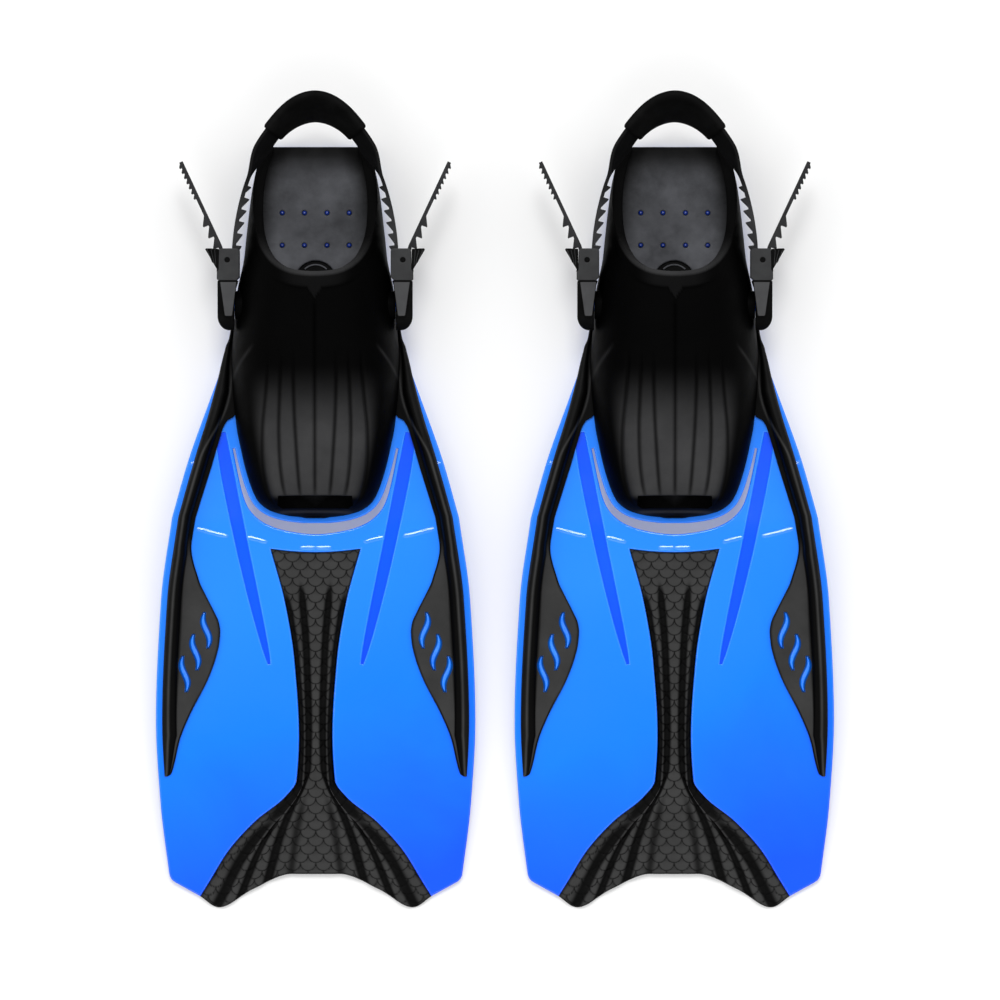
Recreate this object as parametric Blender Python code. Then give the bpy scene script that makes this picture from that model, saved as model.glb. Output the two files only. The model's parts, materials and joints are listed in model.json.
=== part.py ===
"""A pair of open-heel snorkel fins with toothed heel straps and ratchet buckles.

Metres, +Z up. Each fin is drawn flat, with X across it and Y from the blade tips to the heel,
and Y = 0 at the toe of the foot pocket. Then the blade is drooped and the fin is set on the floor.
"""

import math

import bmesh
import bpy
import numpy as np
from mathutils import Matrix, Vector

MM = 0.001

# Fits
FIT = 0.3 * MM                  # gap between two pieces that seat on each other
SIDE_PLAY = 0.6 * MM            # gap beside a strap or a lever that slides

# Overall sizes
BLADE_WIDTH = 203.6 * MM
FIN_GAP = 24.9 * MM             # between the blades, as the pair lies side by side
BLADE_LENGTH = 249.2 * MM       # from the toe of the foot pocket to the tail tips
FOOT_LENGTH = 237.0 * MM        # from the toe of the foot pocket to its heel edge
POCKET_WIDTH = 110.0 * MM
POCKET_HEIGHT = 70.0 * MM       # instep above the sole plate

# Blade
PLATE = 3.2 * MM
DROOP = math.radians(9.5)       # blade against sole
DROOP_RUN = 21.0 * MM           # length of the bend in front of the toe
DROOP_CUTS = 5
SHOULDER = 107.0 * MM           # how far the blade's edges run up beside the pocket
SHOULDER_STRIP = 2.4 * MM       # bare blade beside the pocket there
SOLE_INSET = 1.0 * MM           # pocket overhang round the sole plate
SOLE_CORNER = 9.0 * MM
VENT_TOP = 45.0 * MM            # upper ends of the water slot round the toe
VENT_RIM = 3.5 * MM
VENT_END = 1.4 * MM
VENT_WIDTH = 7.0 * MM
CHANNEL_WIDTH = 6.0 * MM
CHANNEL_DEPTH = 1.0 * MM
CHANNEL_BEND = (0.25, 0.02)     # shares of the blade's width and length
CHANNEL_POINT = (0.135, 0.336)
STUD_RADIUS = 2.5 * MM
STUD_PROUD = 0.8 * MM
STUD_SIDES = 8
STUD_COLUMNS = (-21.4 * MM, -7.2 * MM, 7.2 * MM, 21.4 * MM)
STUD_ROWS = (42.6 * MM, 63.4 * MM)   # from the heel edge

# Tail insert
INSERT_PROUD = 0.9 * MM
FLUTE_DEPTH = 0.8 * MM
INSERT_COLUMNS = 13
FLUTE_COLUMNS = (2, 5, 7, 10)

# Side rails
RAIL_STRIP = 4.0 * MM           # bare blade edge outside a rail
RAIL_TIP = 165.0 * MM           # rail's end, in front of the toe
RIDGE_WIDTH = 9.0 * MM
LEAF = 1.6 * MM
RAIL_STATIONS = 20
WINDOW_COUNT = 3
WINDOW_LENGTH = 23.0 * MM
WINDOW_WIDTH = 4.5 * MM
WINDOW_START = 50.3 * MM        # first window, in front of the toe
WINDOW_STEP = 14.0 * MM
WINDOW_INSET = 26.0 * MM        # first window, in from the blade's edge
WINDOW_SHIFT = 5.5 * MM
WINDOW_LEAN = 3.4 * MM
WINDOW_SWAY = 1.4 * MM
WINDOW_POINTS = 7

# Foot pocket and footbed
POCKET_WALL = 3.5 * MM
ARCH_POWER = 2.4                # 2 is an ellipse, more is squarer
HOLLOW_STEPS = 12
MOUTH_LENGTH = 86.5 * MM        # open heel part behind the top of the mouth
GROOVE_WIDTH = 2.6 * MM
GROOVE_DEPTH = 0.9 * MM
DRAIN_WIDTH = 48.0 * MM         # slot across the toe
DRAIN_DEPTH = 5.8 * MM
DRAIN_SETBACK = 6.5 * MM
FOOTBED = 3.0 * MM
FOOTBED_TOE = 6.0 * MM
HALF_MOON = 13.4 * MM
HALF_MOON_DEPTH = 2.0 * MM

# Strap posts
POST_SETBACK = 103.8 * MM       # post axis in front of the heel edge
POST_RISE = 26.0 * MM           # post axis above the sole plate
POST_RADIUS = 4.0 * MM
POST_HEAD = 5.5 * MM
POST_FLANGE = 7.0 * MM
FLANGE_THICK = 1.5 * MM
HEAD_THICK = 3.2 * MM
BOSS_RADIUS = 9.0 * MM
BOSS_WALL = 4.7 * MM
POST_SIDES = 12

# Heel strap, in the strap's own frame: Y from the posts to the heel, Z across the band
STRAP_ANGLE = math.radians(5.0)
STRAP_REACH = 126.3 * MM        # post axis to the middle of the band behind the heel
STRAP_THICK = 2.2 * MM
STRAP_BAND = 20.0 * MM
STRAP_POWER = 1.86
STRAP_LEAN = math.radians(25.5)  # the band leans out behind the heel and is upright at the buckles
LEAN_HOLD = 44.0 * MM           # run of the band from the heel that leans in full
LEAN_END = 66.0 * MM            # run where it is upright again
TAIL_LENGTH = 58.0 * MM
TAIL_LEAN = math.radians(25.0)
TAIL_RISE = 4.5 * MM            # straight part before the tail leans out
TAIL_BEND = 12.0 * MM
TOOTH_HIGH = 3.4 * MM
TOOTH_DRAFT = 0.2 * MM          # lean of a tooth's steep face
TOOTH_TIP = 0.8 * MM
TOOTH_RAMP = 6.6 * MM           # whole length of a tooth
TOOTH_PITCH = 7.8 * MM
FINE_PITCH = 3.6 * MM
FINE_SCALE = 0.4
SIDE_TEETH = 6
TAIL_TEETH = 3
FINE_TEETH = 7
PAD_BAND = 40.0 * MM            # height in the middle
PAD_END_BAND = 26.0 * MM        # height at its ends
PAD_THICK = 6.4 * MM
PAD_HALF = 27.0 * MM            # half width across the heel
PAD_STATIONS = 19

# Buckles
ARM_THICK = 10.6 * MM
ARM_LENGTH = 15.4 * MM          # post axis to the frame
ARM_TOE = 16.0 * MM             # post axis to the rounded end
ARM_END = 10.0 * MM             # half width of the rounded end
ARM_CHAMFER = 3.0 * MM
CHEEK = 2.0 * MM
FRAME_LENGTH = 20.3 * MM
FRAME_FLOOR = 1.8 * MM
FRAME_WIDTH = 12.0 * MM
FRAME_STEP = 2.3 * MM           # frame inside the arm's inner face
TONGUE_LENGTH = 7.5 * MM
TONGUE_WIDTH = 10.0 * MM
TONGUE_THICK = 4.5 * MM
BAR_RADIUS = 2.5 * MM
BAR_INSET = 4.4 * MM            # bar axis outside the arm's inner face
BAR_RISE = 13.3 * MM            # bar axis above the arm's top
LEVER_PIN = 1.2 * MM
LEVER_INSET = 8.4 * MM          # pin axis outside the arm's inner face
LEVER_RISE = 4.8 * MM           # pin axis above the arm's top
LEVER_EYE = 2.6 * MM
LEVER_FLARE = 5.0 * MM
GRIP_NOTCHES = 4
GRIP_DEPTH = 0.7 * MM
PAWL_RISE = 17.0 * MM           # pawl above the arm's top
PAWL_REACH = 1.6 * MM
PAWL_TIP = 1.05 * MM            # width of its flat tip
PIN_SIDES = 10

# Lever springs
WIRE = 0.35 * MM                # wire radius
COIL_RADIUS = 1.95 * MM
COIL_TURNS = 3
COIL_PITCH = 1.25 * MM
COIL_POINTS = 8
COIL_LEG = 2.4 * MM

# Outline knots: (share of the length, share of the half width or height)
POCKET_PLAN = ((0.0, 0.29), (0.02, 0.545), (0.046, 0.673), (0.10, 0.773), (0.18, 0.862),
               (0.26, 0.925), (0.42, 0.975), (0.51, 0.945), (0.60, 0.912), (0.695, 0.83),
               (0.75, 0.805), (0.883, 0.735), (1.0, 0.62))
POCKET_SIDE = ((0.0, 0.10), (0.02, 0.31), (0.046, 0.43), (0.10, 0.53), (0.18, 0.60),
               (0.316, 0.73), (0.426, 0.83), (0.65, 1.0), (1.0, 1.0))
MOUTH_SIDE = ((0.0, 1.0), (0.41, 0.55), (0.75, 0.27), (1.0, 0.14))
POCKET_STATIONS = (0.0, 0.02, 0.046, 0.10, 0.18, 0.26, 0.34, 0.42, 0.51, 0.60, 0.67, 0.75, 0.86, 1.0)
GROOVES_AT_TOE = (0.77, 0.51, 0.25)
GROOVES_AT_INSTEP = (0.56, 0.41, 0.26)
EDGE_SHOULDER = ((0.0, 0.774), (0.34, 0.551), (0.70, 0.255), (1.0, 0.0))
EDGE_BLADE = ((0.0, 0.774), (0.21, 0.928), (0.52, 1.0), (0.727, 0.941), (0.928, 0.81))
INSERT_SIDE = ((0.079, 0.28), (0.213, 0.192), (0.367, 0.132), (0.558, 0.104), (0.674, 0.12),
               (0.718, 0.196), (0.778, 0.377), (0.855, 0.547), (0.932, 0.663), (0.9715, 0.723))
INSERT_ROWS = (0.0, 0.12, 0.26, 0.42, 0.56, 0.64, 0.68, 0.715, 0.75, 0.79, 0.84, 0.89, 0.94, 1.0)
TIP_EDGE = ((0.0, 0.914), (0.151, 0.914), (0.39, 0.952), (0.61, 1.0), (0.723, 0.9715))
RAIL_WIDTHS = ((-1.0, 0.8 * MM), (-0.787, 15.0 * MM), (-0.61, 29.0 * MM), (-0.476, 34.0 * MM),
               (-0.364, 29.0 * MM), (-0.244, 17.3 * MM), (-0.09, 10.9 * MM), (0.22, 12.8 * MM),
               (0.33, 15.0 * MM), (0.37, 19.0 * MM), (0.395, 30.0 * MM), (0.65, 30.0 * MM))
RAIL_STRIPS = ((0.20, 1.0), (0.56, 0.1), (0.65, 0.1))
RAIL_BRIDGE = (0.33, 0.35, 0.37, 0.383, 0.395, 0.41)   # where a rail's leaf widens to the pocket
RAIL_HEIGHTS = ((-1.0, 1.5 * MM), (-0.73, 4.5 * MM), (-0.36, 8.0 * MM), (0.0, 10.0 * MM),
                (0.36, 9.0 * MM), (0.65, 5.0 * MM))


# Curves and plan outlines

def curve_at(knots, place):
    """Value at a place on a smooth curve through knots, without overshoot and flat past its ends."""
    places = np.array([knot[0] for knot in knots])
    values = np.array([knot[1] for knot in knots])
    place = min(max(place, places[0]), places[-1])
    rises = np.diff(values) / np.diff(places)
    slopes = np.concatenate(([rises[0]], np.zeros(len(rises) - 1), [rises[-1]]))
    for index in range(1, len(rises)):
        before, after = rises[index - 1], rises[index]
        if before * after > 0.0:
            slopes[index] = 2.0 * before * after / (before + after)
    index = min(int(np.searchsorted(places, place, side="right")), len(places) - 1) - 1
    span = places[index + 1] - places[index]
    t = (place - places[index]) / span
    start = values[index] * (1 + 2 * t) * (1 - t) ** 2 + slopes[index] * span * t * (1 - t) ** 2
    end = values[index + 1] * t * t * (3 - 2 * t) + slopes[index + 1] * span * t * t * (t - 1)
    return float(start + end)


def pocket_half(y):
    """Half width of the foot pocket at its base."""
    return 0.5 * POCKET_WIDTH * curve_at(POCKET_PLAN, y / FOOT_LENGTH)


def pocket_rise(y):
    """Height of the foot pocket above the sole plate."""
    return POCKET_HEIGHT * curve_at(POCKET_SIDE, y / FOOT_LENGTH)


def edge_half(y):
    """Half width of the blade, which starts at the pocket's side and flares to the blade's width."""
    narrow = pocket_half(SHOULDER) + SHOULDER_STRIP
    flare = 0.5 * BLADE_WIDTH - narrow
    if y >= 0.0:
        return narrow + flare * curve_at(EDGE_SHOULDER, y / SHOULDER)
    return narrow + flare * curve_at(EDGE_BLADE, -y / BLADE_LENGTH)


def offset_line(points, distance):
    """Moves an open plan line sideways, to the left of its direction when distance is positive."""
    line = np.array(points)
    along = np.gradient(line, axis=0)
    along /= np.linalg.norm(along, axis=1)[:, None]
    shift = np.broadcast_to(np.asarray(distance, dtype=float), (len(line),))
    return line + shift[:, None] * np.stack((-along[:, 1], along[:, 0]), axis=1)


def both_sides(half):
    """Closes a half outline, drawn from the tip end to the heel end at +X, with its mirror image."""
    points = [(float(x), float(y)) for x, y in half]
    return points + [(-x, y) for x, y in reversed(points) if x > 1e-9]


# Places worked out from the sizes
SEAT_Z = PLATE + FIT
POST_Y = FOOT_LENGTH - POST_SETBACK
POST_Z = SEAT_Z + POST_RISE
BOSS_FACE = pocket_half(POST_Y)
POST_SEAT = BOSS_FACE - BOSS_WALL
ARM_IN = BOSS_FACE + FIT
ARM_OUT = ARM_IN + ARM_THICK
BAR_X = ARM_IN + BAR_INSET
BAR_Y = ARM_LENGTH + BAR_RISE
WRAP = BAR_RADIUS + FIT + 0.5 * STRAP_THICK
PIVOT_X = ARM_IN + LEVER_INSET
PIVOT_Y = ARM_LENGTH + LEVER_RISE
CHEEK_IN = 0.5 * STRAP_BAND + SIDE_PLAY
CHEEK_OUT = CHEEK_IN + CHEEK
FRAME_LOW = ARM_LENGTH + FIT
FRAME_TOP = FRAME_LOW + FRAME_LENGTH
FRAME_IN = ARM_IN - FRAME_STEP
INSERT_TOP = -INSERT_SIDE[0][0] * BLADE_LENGTH
INSERT_END = -INSERT_SIDE[-1][0] * BLADE_LENGTH


# Mesh making

def prism(bm, outline, low, high, axis="z"):
    """Adds a closed prism over an outline, along Z over (x, y) points or along X over (y, z) points."""
    order = {"z": (0, 1, 2), "x": (2, 0, 1)}[axis]
    corners = [(a, b, low) for a, b in outline]
    base = bm.faces.new([bm.verts.new([corner[i] for i in order]) for corner in corners])
    grown = bmesh.ops.extrude_face_region(bm, geom=[base])["geom"]
    top = [item for item in grown if isinstance(item, bmesh.types.BMVert)]
    rise = [(0.0, 0.0, high - low)[i] for i in order]
    bmesh.ops.translate(bm, verts=top, vec=rise)
    bmesh.ops.recalc_face_normals(bm, faces=bm.faces)


def loft(bm, rings):
    """Adds a closed skin through rings of as many points each, capped at both ends."""
    loops = [[bm.verts.new(point) for point in ring] for ring in rings]
    count = len(loops[0])
    for first, second in zip(loops, loops[1:]):
        for index in range(count):
            after = (index + 1) % count
            bm.faces.new((first[index], first[after], second[after], second[index]))
    bm.faces.new(loops[0])
    bm.faces.new(list(reversed(loops[-1])))
    bmesh.ops.recalc_face_normals(bm, faces=bm.faces)


def turned(bm, profile, sides, centre, axis="z"):
    """Adds a turned solid with (radius, height) steps along X or Z through a centre."""
    rings = []
    for radius, height in profile:
        ring = []
        for index in range(sides):
            angle = math.tau * (index + 0.5) / sides
            across = (radius * math.cos(angle), radius * math.sin(angle))
            offset = (*across, height) if axis == "z" else (height, *across)
            ring.append(Vector(centre) + Vector(offset))
        rings.append(ring)
    loft(bm, rings)


def mesh_from(bm):
    """Turns a finished bmesh into a mesh."""
    mesh = bpy.data.meshes.new("piece")
    bm.to_mesh(mesh)
    bm.free()
    return mesh


def combined(mesh, tool, operation):
    """Mesh after a Boolean with a tool mesh."""
    target = bpy.data.objects.new("target", mesh)
    cutter = bpy.data.objects.new("cutter", tool)
    for item in (target, cutter):
        bpy.context.scene.collection.objects.link(item)
    boolean = target.modifiers.new("boolean", "BOOLEAN")
    boolean.operation = operation
    boolean.object = cutter
    boolean.solver = "EXACT"
    graph = bpy.context.evaluated_depsgraph_get()
    result = bpy.data.meshes.new_from_object(target.evaluated_get(graph))
    for item in (target, cutter):
        bpy.data.objects.remove(item)
    return result


def mirrored(mesh):
    """Copy of a mesh for the other side of the fin."""
    bm = bmesh.new()
    bm.from_mesh(mesh)
    bmesh.ops.scale(bm, vec=(-1.0, 1.0, 1.0), verts=bm.verts)
    bmesh.ops.reverse_faces(bm, faces=bm.faces)
    return mesh_from(bm)


def moved(mesh, offset):
    """Shifts a mesh in place."""
    mesh.transform(Matrix.Translation(offset))
    return mesh


def drooped_point(point):
    """Place of a flat point after the blade is bent down in front of the toe."""
    radius = DROOP_RUN / DROOP
    angle = min(max(-point.y / radius, 0.0), DROOP)
    beyond = min(point.y, 0.0) + radius * angle
    lead = max(point.y, 0.0)
    height = radius + point.z
    y = lead - height * math.sin(angle) + beyond * math.cos(angle)
    z = -radius + height * math.cos(angle) + beyond * math.sin(angle)
    return Vector((point.x, y, z))


def drooped(mesh):
    """Cuts a flat mesh across the bend and bends it."""
    bm = bmesh.new()
    bm.from_mesh(mesh)
    for index in range(DROOP_CUTS):
        place = Vector((0.0, -DROOP_RUN * index / (DROOP_CUTS - 1), 0.0))
        everything = list(bm.verts) + list(bm.edges) + list(bm.faces)
        bmesh.ops.bisect_plane(bm, geom=everything, dist=1e-6, plane_co=place, plane_no=(0.0, 1.0, 0.0))
    bmesh.ops.triangulate(bm, faces=bm.faces)
    for vert in bm.verts:
        vert.co = drooped_point(vert.co)
    return mesh_from(bm)


# Blade

def blade_outline():
    """Plan of the blade and sole plate, with a straight tip that the tail insert's slot cuts away."""
    corner = -EDGE_BLADE[-1][0] * BLADE_LENGTH
    half = [(0.0, INSERT_END), (INSERT_SIDE[-1][1] * 0.5 * BLADE_WIDTH, INSERT_END)]
    half += [(edge_half(y), y) for y in np.linspace(corner, SHOULDER, 24)]
    stations = [share * FOOT_LENGTH for share in POCKET_STATIONS if share * FOOT_LENGTH > SHOULDER]
    half += [(pocket_half(y) - SOLE_INSET, y) for y in stations[:-1]]
    end = FOOT_LENGTH - SOLE_INSET
    wide = pocket_half(end) - SOLE_INSET
    for angle in (0.0, 30.0, 60.0, 90.0):
        turn = math.radians(angle)
        across = wide - SOLE_CORNER * (1.0 - math.cos(turn))
        half.append((across, end - SOLE_CORNER * (1.0 - math.sin(turn))))
    half.append((0.0, end))
    return both_sides(half)


def vent_outline():
    """Water slot that runs round the toe and widens towards its middle."""
    toe = [(pocket_half(y), y) for y in VENT_TOP * np.array((1.0, 0.8, 0.62, 0.45, 0.3, 0.18, 0.09, 0.03))]
    flat = pocket_half(0.0)
    toe += [(flat, 0.0), (0.5 * flat, 0.0), (0.0, 0.0)]
    share = np.linspace(0.0, 1.0, len(toe))
    width = VENT_END + (VENT_WIDTH - VENT_END) * share * share * (3.0 - 2.0 * share)
    inner = offset_line(toe, VENT_RIM)
    outer = offset_line(toe, VENT_RIM + width)
    inner[-1][0] = outer[-1][0] = 0.0
    outline = [tuple(point) for point in outer]
    outline += [(-x, y) for x, y in reversed(outer[:-1])]
    outline += [(-x, y) for x, y in inner]
    outline += [tuple(point) for point in reversed(inner[:-1])]
    return outline


def channel_outline():
    """Tapered groove from the end of the water slot to a point on the blade, at +X."""
    rim = pocket_half(VENT_TOP) + VENT_RIM + VENT_END
    start = np.array((rim + CHANNEL_WIDTH, VENT_TOP))
    size = np.array((BLADE_WIDTH, -BLADE_LENGTH))
    middle, point = np.array(CHANNEL_BEND) * size, np.array(CHANNEL_POINT) * size
    left, right = [], []
    for t in np.linspace(0.0, 0.96, 8):
        place = start * (1 - t) ** 2 + 2 * middle * t * (1 - t) + point * t * t
        along = 2 * (middle - start) * (1 - t) + 2 * (point - middle) * t
        across = np.array((-along[1], along[0])) / np.linalg.norm(along)
        width = CHANNEL_WIDTH * min(1.0, 0.25 + 3.0 * t) * (1.0 - t) ** 0.7
        left.append(tuple(place - 0.5 * width * across))
        right.append(tuple(place + 0.5 * width * across))
    return left + right[::-1]


def window_outline(index, margin):
    """S-shaped window in a rail's leaf at +X, grown by a margin."""
    start = -WINDOW_START - index * WINDOW_STEP
    inset = WINDOW_INSET - index * WINDOW_SHIFT
    left, right = [], []
    for t in np.linspace(0.0, 1.0, WINDOW_POINTS):
        y = start - t * WINDOW_LENGTH + margin * (1.0 - 2.0 * t)
        x = edge_half(start) - inset - WINDOW_LEAN * t + WINDOW_SWAY * math.sin(math.tau * t)
        width = 0.5 * WINDOW_WIDTH * (0.35 + 0.65 * math.sin(math.pi * t)) + margin
        left.append((x - width, y))
        right.append((x + width, y))
    return left + right[::-1]


def insert_side():
    """Edge of the tail insert at +X, from its top to its end at the blade's tip."""
    line = []
    for row in INSERT_ROWS:
        y = INSERT_TOP + row * (INSERT_END - INSERT_TOP)
        line.append((0.5 * BLADE_WIDTH * curve_at(INSERT_SIDE, -y / BLADE_LENGTH), y))
    return line


def insert_slot():
    """Plan of the slot for the tail insert, run past the blade's tip."""
    side = offset_line(insert_side(), FIT)
    past = side[-1] + 3.0 * (side[-1] - side[-2])
    half = [(0.0, past[1]), tuple(past)]
    half += [tuple(point) for point in reversed(side)]
    half[-1] = (half[-1][0], INSERT_TOP + FIT)
    half.append((0.0, INSERT_TOP + FIT))
    return both_sides(half)


def blade():
    """Blade and sole plate in one, with its slots, channels, footbed studs and window ribs."""
    bm = bmesh.new()
    prism(bm, blade_outline(), 0.0, PLATE)
    plate = mesh_from(bm)
    bm = bmesh.new()
    prism(bm, vent_outline(), -PLATE, 2.0 * PLATE)
    prism(bm, insert_slot(), -PLATE, 2.0 * PLATE)
    for side in (-1, 1):
        outline = [(side * x, y) for x, y in channel_outline()]
        prism(bm, outline, PLATE - CHANNEL_DEPTH, 2.0 * PLATE)
    plate = combined(plate, mesh_from(bm), "DIFFERENCE")
    bm = bmesh.new()
    pad = FIT + FOOTBED
    stud = ((STUD_RADIUS, -0.5 * PLATE), (STUD_RADIUS, pad), (0.6 * STUD_RADIUS, pad + STUD_PROUD))
    for x in STUD_COLUMNS:
        for row in STUD_ROWS:
            turned(bm, stud, STUD_SIDES, (x, FOOT_LENGTH - row, PLATE))
    for side in (-1, 1):
        for index in range(WINDOW_COUNT):
            outline = [(side * x, y) for x, y in window_outline(index, 0.0)]
            prism(bm, outline, 0.5 * PLATE, SEAT_Z + LEAF)
    return drooped(combined(plate, mesh_from(bm), "UNION"))


def tail_insert():
    """Fluted tail insert that fills the blade's slot to the tips."""
    half_end = insert_side()[-1][0]
    rings = []
    for row, (half, _) in zip(INSERT_ROWS, insert_side()):
        top, bottom = [], []
        for column in range(INSERT_COLUMNS):
            u = 2.0 * column / (INSERT_COLUMNS - 1) - 1.0
            edge = abs(u) * half_end / (0.5 * BLADE_WIDTH)
            end = -BLADE_LENGTH * curve_at(TIP_EDGE, edge)
            y = INSERT_TOP + row * (end - INSERT_TOP)
            flute = FLUTE_DEPTH if column in FLUTE_COLUMNS and row > 0.0 else 0.0
            top.append(Vector((u * half, y, PLATE + INSERT_PROUD - flute)))
            bottom.append(Vector((u * half, y, 0.0)))
        rings.append(top + bottom[::-1])
    bm = bmesh.new()
    loft(bm, rings)
    return drooped(mesh_from(bm))


# Side rails

def rail_ring(y):
    """Section of the rail at +X: a rounded ridge outside and a thin leaf inside."""
    share = y / RAIL_TIP
    outer = edge_half(y) - RAIL_STRIP * curve_at(RAIL_STRIPS, share)
    inner = max(outer - curve_at(RAIL_WIDTHS, share), pocket_half(y) + 2.0 * FIT)
    high = curve_at(RAIL_HEIGHTS, share)
    ridge = min(RIDGE_WIDTH, 0.75 * (outer - inner))
    leaf = min(LEAF, 0.5 * high)
    steps = ((0.0, 0.0), (0.0, 0.5 * high), (0.15 * ridge, 0.85 * high), (0.4 * ridge, high),
             (0.75 * ridge, 0.75 * high), (ridge, leaf), (outer - inner, leaf), (outer - inner, 0.0))
    return [Vector((outer - across, y, SEAT_Z + rise)) for across, rise in steps]


def rail():
    """Rubber side rail at +X, with three windows in its leaf."""
    bm = bmesh.new()
    even = np.linspace(-RAIL_TIP, SHOULDER - 2.0 * FIT, RAIL_STATIONS)
    stations = np.union1d(even, RAIL_TIP * np.array(RAIL_BRIDGE))
    loft(bm, [rail_ring(y) for y in stations])
    body = mesh_from(bm)
    bm = bmesh.new()
    for index in range(WINDOW_COUNT):
        prism(bm, window_outline(index, FIT), 0.0, SEAT_Z + 4.0 * LEAF + RIDGE_WIDTH)
    return drooped(combined(body, mesh_from(bm), "DIFFERENCE"))


# Foot pocket and footbed

def arch_point(y, angle, inset=0.0):
    """Point on the pocket's arch, from 0 at the base at +X to pi at the base at -X."""
    power = 2.0 / ARCH_POWER
    across = (pocket_half(y) - inset) * math.copysign(abs(math.cos(angle)) ** power, math.cos(angle))
    rise = (pocket_rise(y) - inset) * abs(math.sin(angle)) ** power
    return Vector((across, y, SEAT_Z + rise))


def groove_depth(share):
    """Depth of the instep grooves, which fade out at the toe and towards the mouth."""
    return GROOVE_DEPTH * curve_at(((0.02, 0.0), (0.08, 1.0), (0.42, 1.0), (0.52, 0.0)), share)


def pocket_ring(share):
    """Outer section of the pocket with seven shallow grooves along its top."""
    y = share * FOOT_LENGTH
    blend = curve_at(((0.05, 0.0), (0.42, 1.0)), share)
    near = [a + blend * (b - a) for a, b in zip(GROOVES_AT_TOE, GROOVES_AT_INSTEP)]
    wide = 0.5 * GROOVE_WIDTH / pocket_half(max(y, 0.046 * FOOT_LENGTH))
    depth = groove_depth(share)
    points = [arch_point(y, math.radians(angle)) for angle in (0.0, 14.0, 28.0)]
    for middle in (*near, 0.0, *(-place for place in reversed(near))):
        for place, inset in ((middle + wide, 0.0), (middle, depth), (middle - wide, 0.0)):
            lean = math.copysign(abs(place) ** (0.5 * ARCH_POWER), place)
            points.append(arch_point(y, math.acos(lean), inset))
    points += [arch_point(y, math.radians(angle)) for angle in (152.0, 166.0, 180.0)]
    return points


def hollow_half(y, rise):
    """Half width of the foot space at a small height above the sole plate, on its lowest facet."""
    low, high = (arch_point(y, math.pi * step / HOLLOW_STEPS, POCKET_WALL) for step in (0, 1))
    return low.x + (high.x - low.x) * rise / (high.z - low.z)


def pocket_hollow_ring(y):
    """Section of the foot space, open through the pocket's base."""
    arch = [arch_point(y, math.pi * step / HOLLOW_STEPS, POCKET_WALL) for step in range(HOLLOW_STEPS + 1)]
    drop = Vector((0.0, 0.0, -2.0 * PLATE))
    return [arch[0] + drop] + arch + [arch[-1] + drop]


def post_bore(bm, side):
    """Stepped hole for a strap post: wide for the flange inside, narrow through the boss."""
    profile = ((POST_FLANGE + FIT, 0.55 * BOSS_FACE), (POST_FLANGE + FIT, POST_SEAT),
               (POST_RADIUS + FIT, POST_SEAT), (POST_RADIUS + FIT, BOSS_FACE + FIT))
    steps = [(radius, side * place) for radius, place in profile]
    turned(bm, steps, POST_SIDES, (0.0, POST_Y, POST_Z), axis="x")


def mouth_outline():
    """Side view of what is cut away behind the instep, in (y, z)."""
    front = FOOT_LENGTH - MOUTH_LENGTH
    line = []
    for share in np.linspace(0.0, 1.0, 9):
        line.append((front + share * MOUTH_LENGTH, SEAT_Z + POCKET_HEIGHT * curve_at(MOUTH_SIDE, share)))
    past = FOOT_LENGTH + MOUTH_LENGTH
    return line + [(past, line[-1][1]), (past, 2.0 * POCKET_HEIGHT), (front, 2.0 * POCKET_HEIGHT)]


def foot_pocket():
    """Rubber foot pocket: an arched shell with a raked mouth, a toe drain and strap post bosses."""
    bm = bmesh.new()
    loft(bm, [pocket_ring(share) for share in POCKET_STATIONS])
    body = mesh_from(bm)
    bm = bmesh.new()
    for side in (-1, 1):
        steps = ((BOSS_RADIUS, side * 0.85 * BOSS_FACE), (BOSS_RADIUS, side * BOSS_FACE))
        turned(bm, steps, POST_SIDES, (0.0, POST_Y, POST_Z), axis="x")
    body = combined(body, mesh_from(bm), "UNION")
    bm = bmesh.new()
    stations = [POCKET_WALL] + [share * FOOT_LENGTH for share in POCKET_STATIONS[2:]]
    loft(bm, [pocket_hollow_ring(y) for y in stations + [FOOT_LENGTH + 2.0 * POCKET_WALL]])
    body = combined(body, mesh_from(bm), "DIFFERENCE")
    bm = bmesh.new()
    prism(bm, mouth_outline(), -POCKET_WIDTH, POCKET_WIDTH, axis="x")
    half, back = 0.5 * DRAIN_WIDTH, DRAIN_SETBACK + DRAIN_DEPTH
    drain = ((-half, DRAIN_SETBACK), (half, DRAIN_SETBACK), (half, back), (-half, back))
    prism(bm, drain, SEAT_Z + pocket_rise(0.0) + POCKET_WALL, POCKET_HEIGHT)
    for side in (-1, 1):
        post_bore(bm, side)
    return combined(body, mesh_from(bm), "DIFFERENCE")


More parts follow.
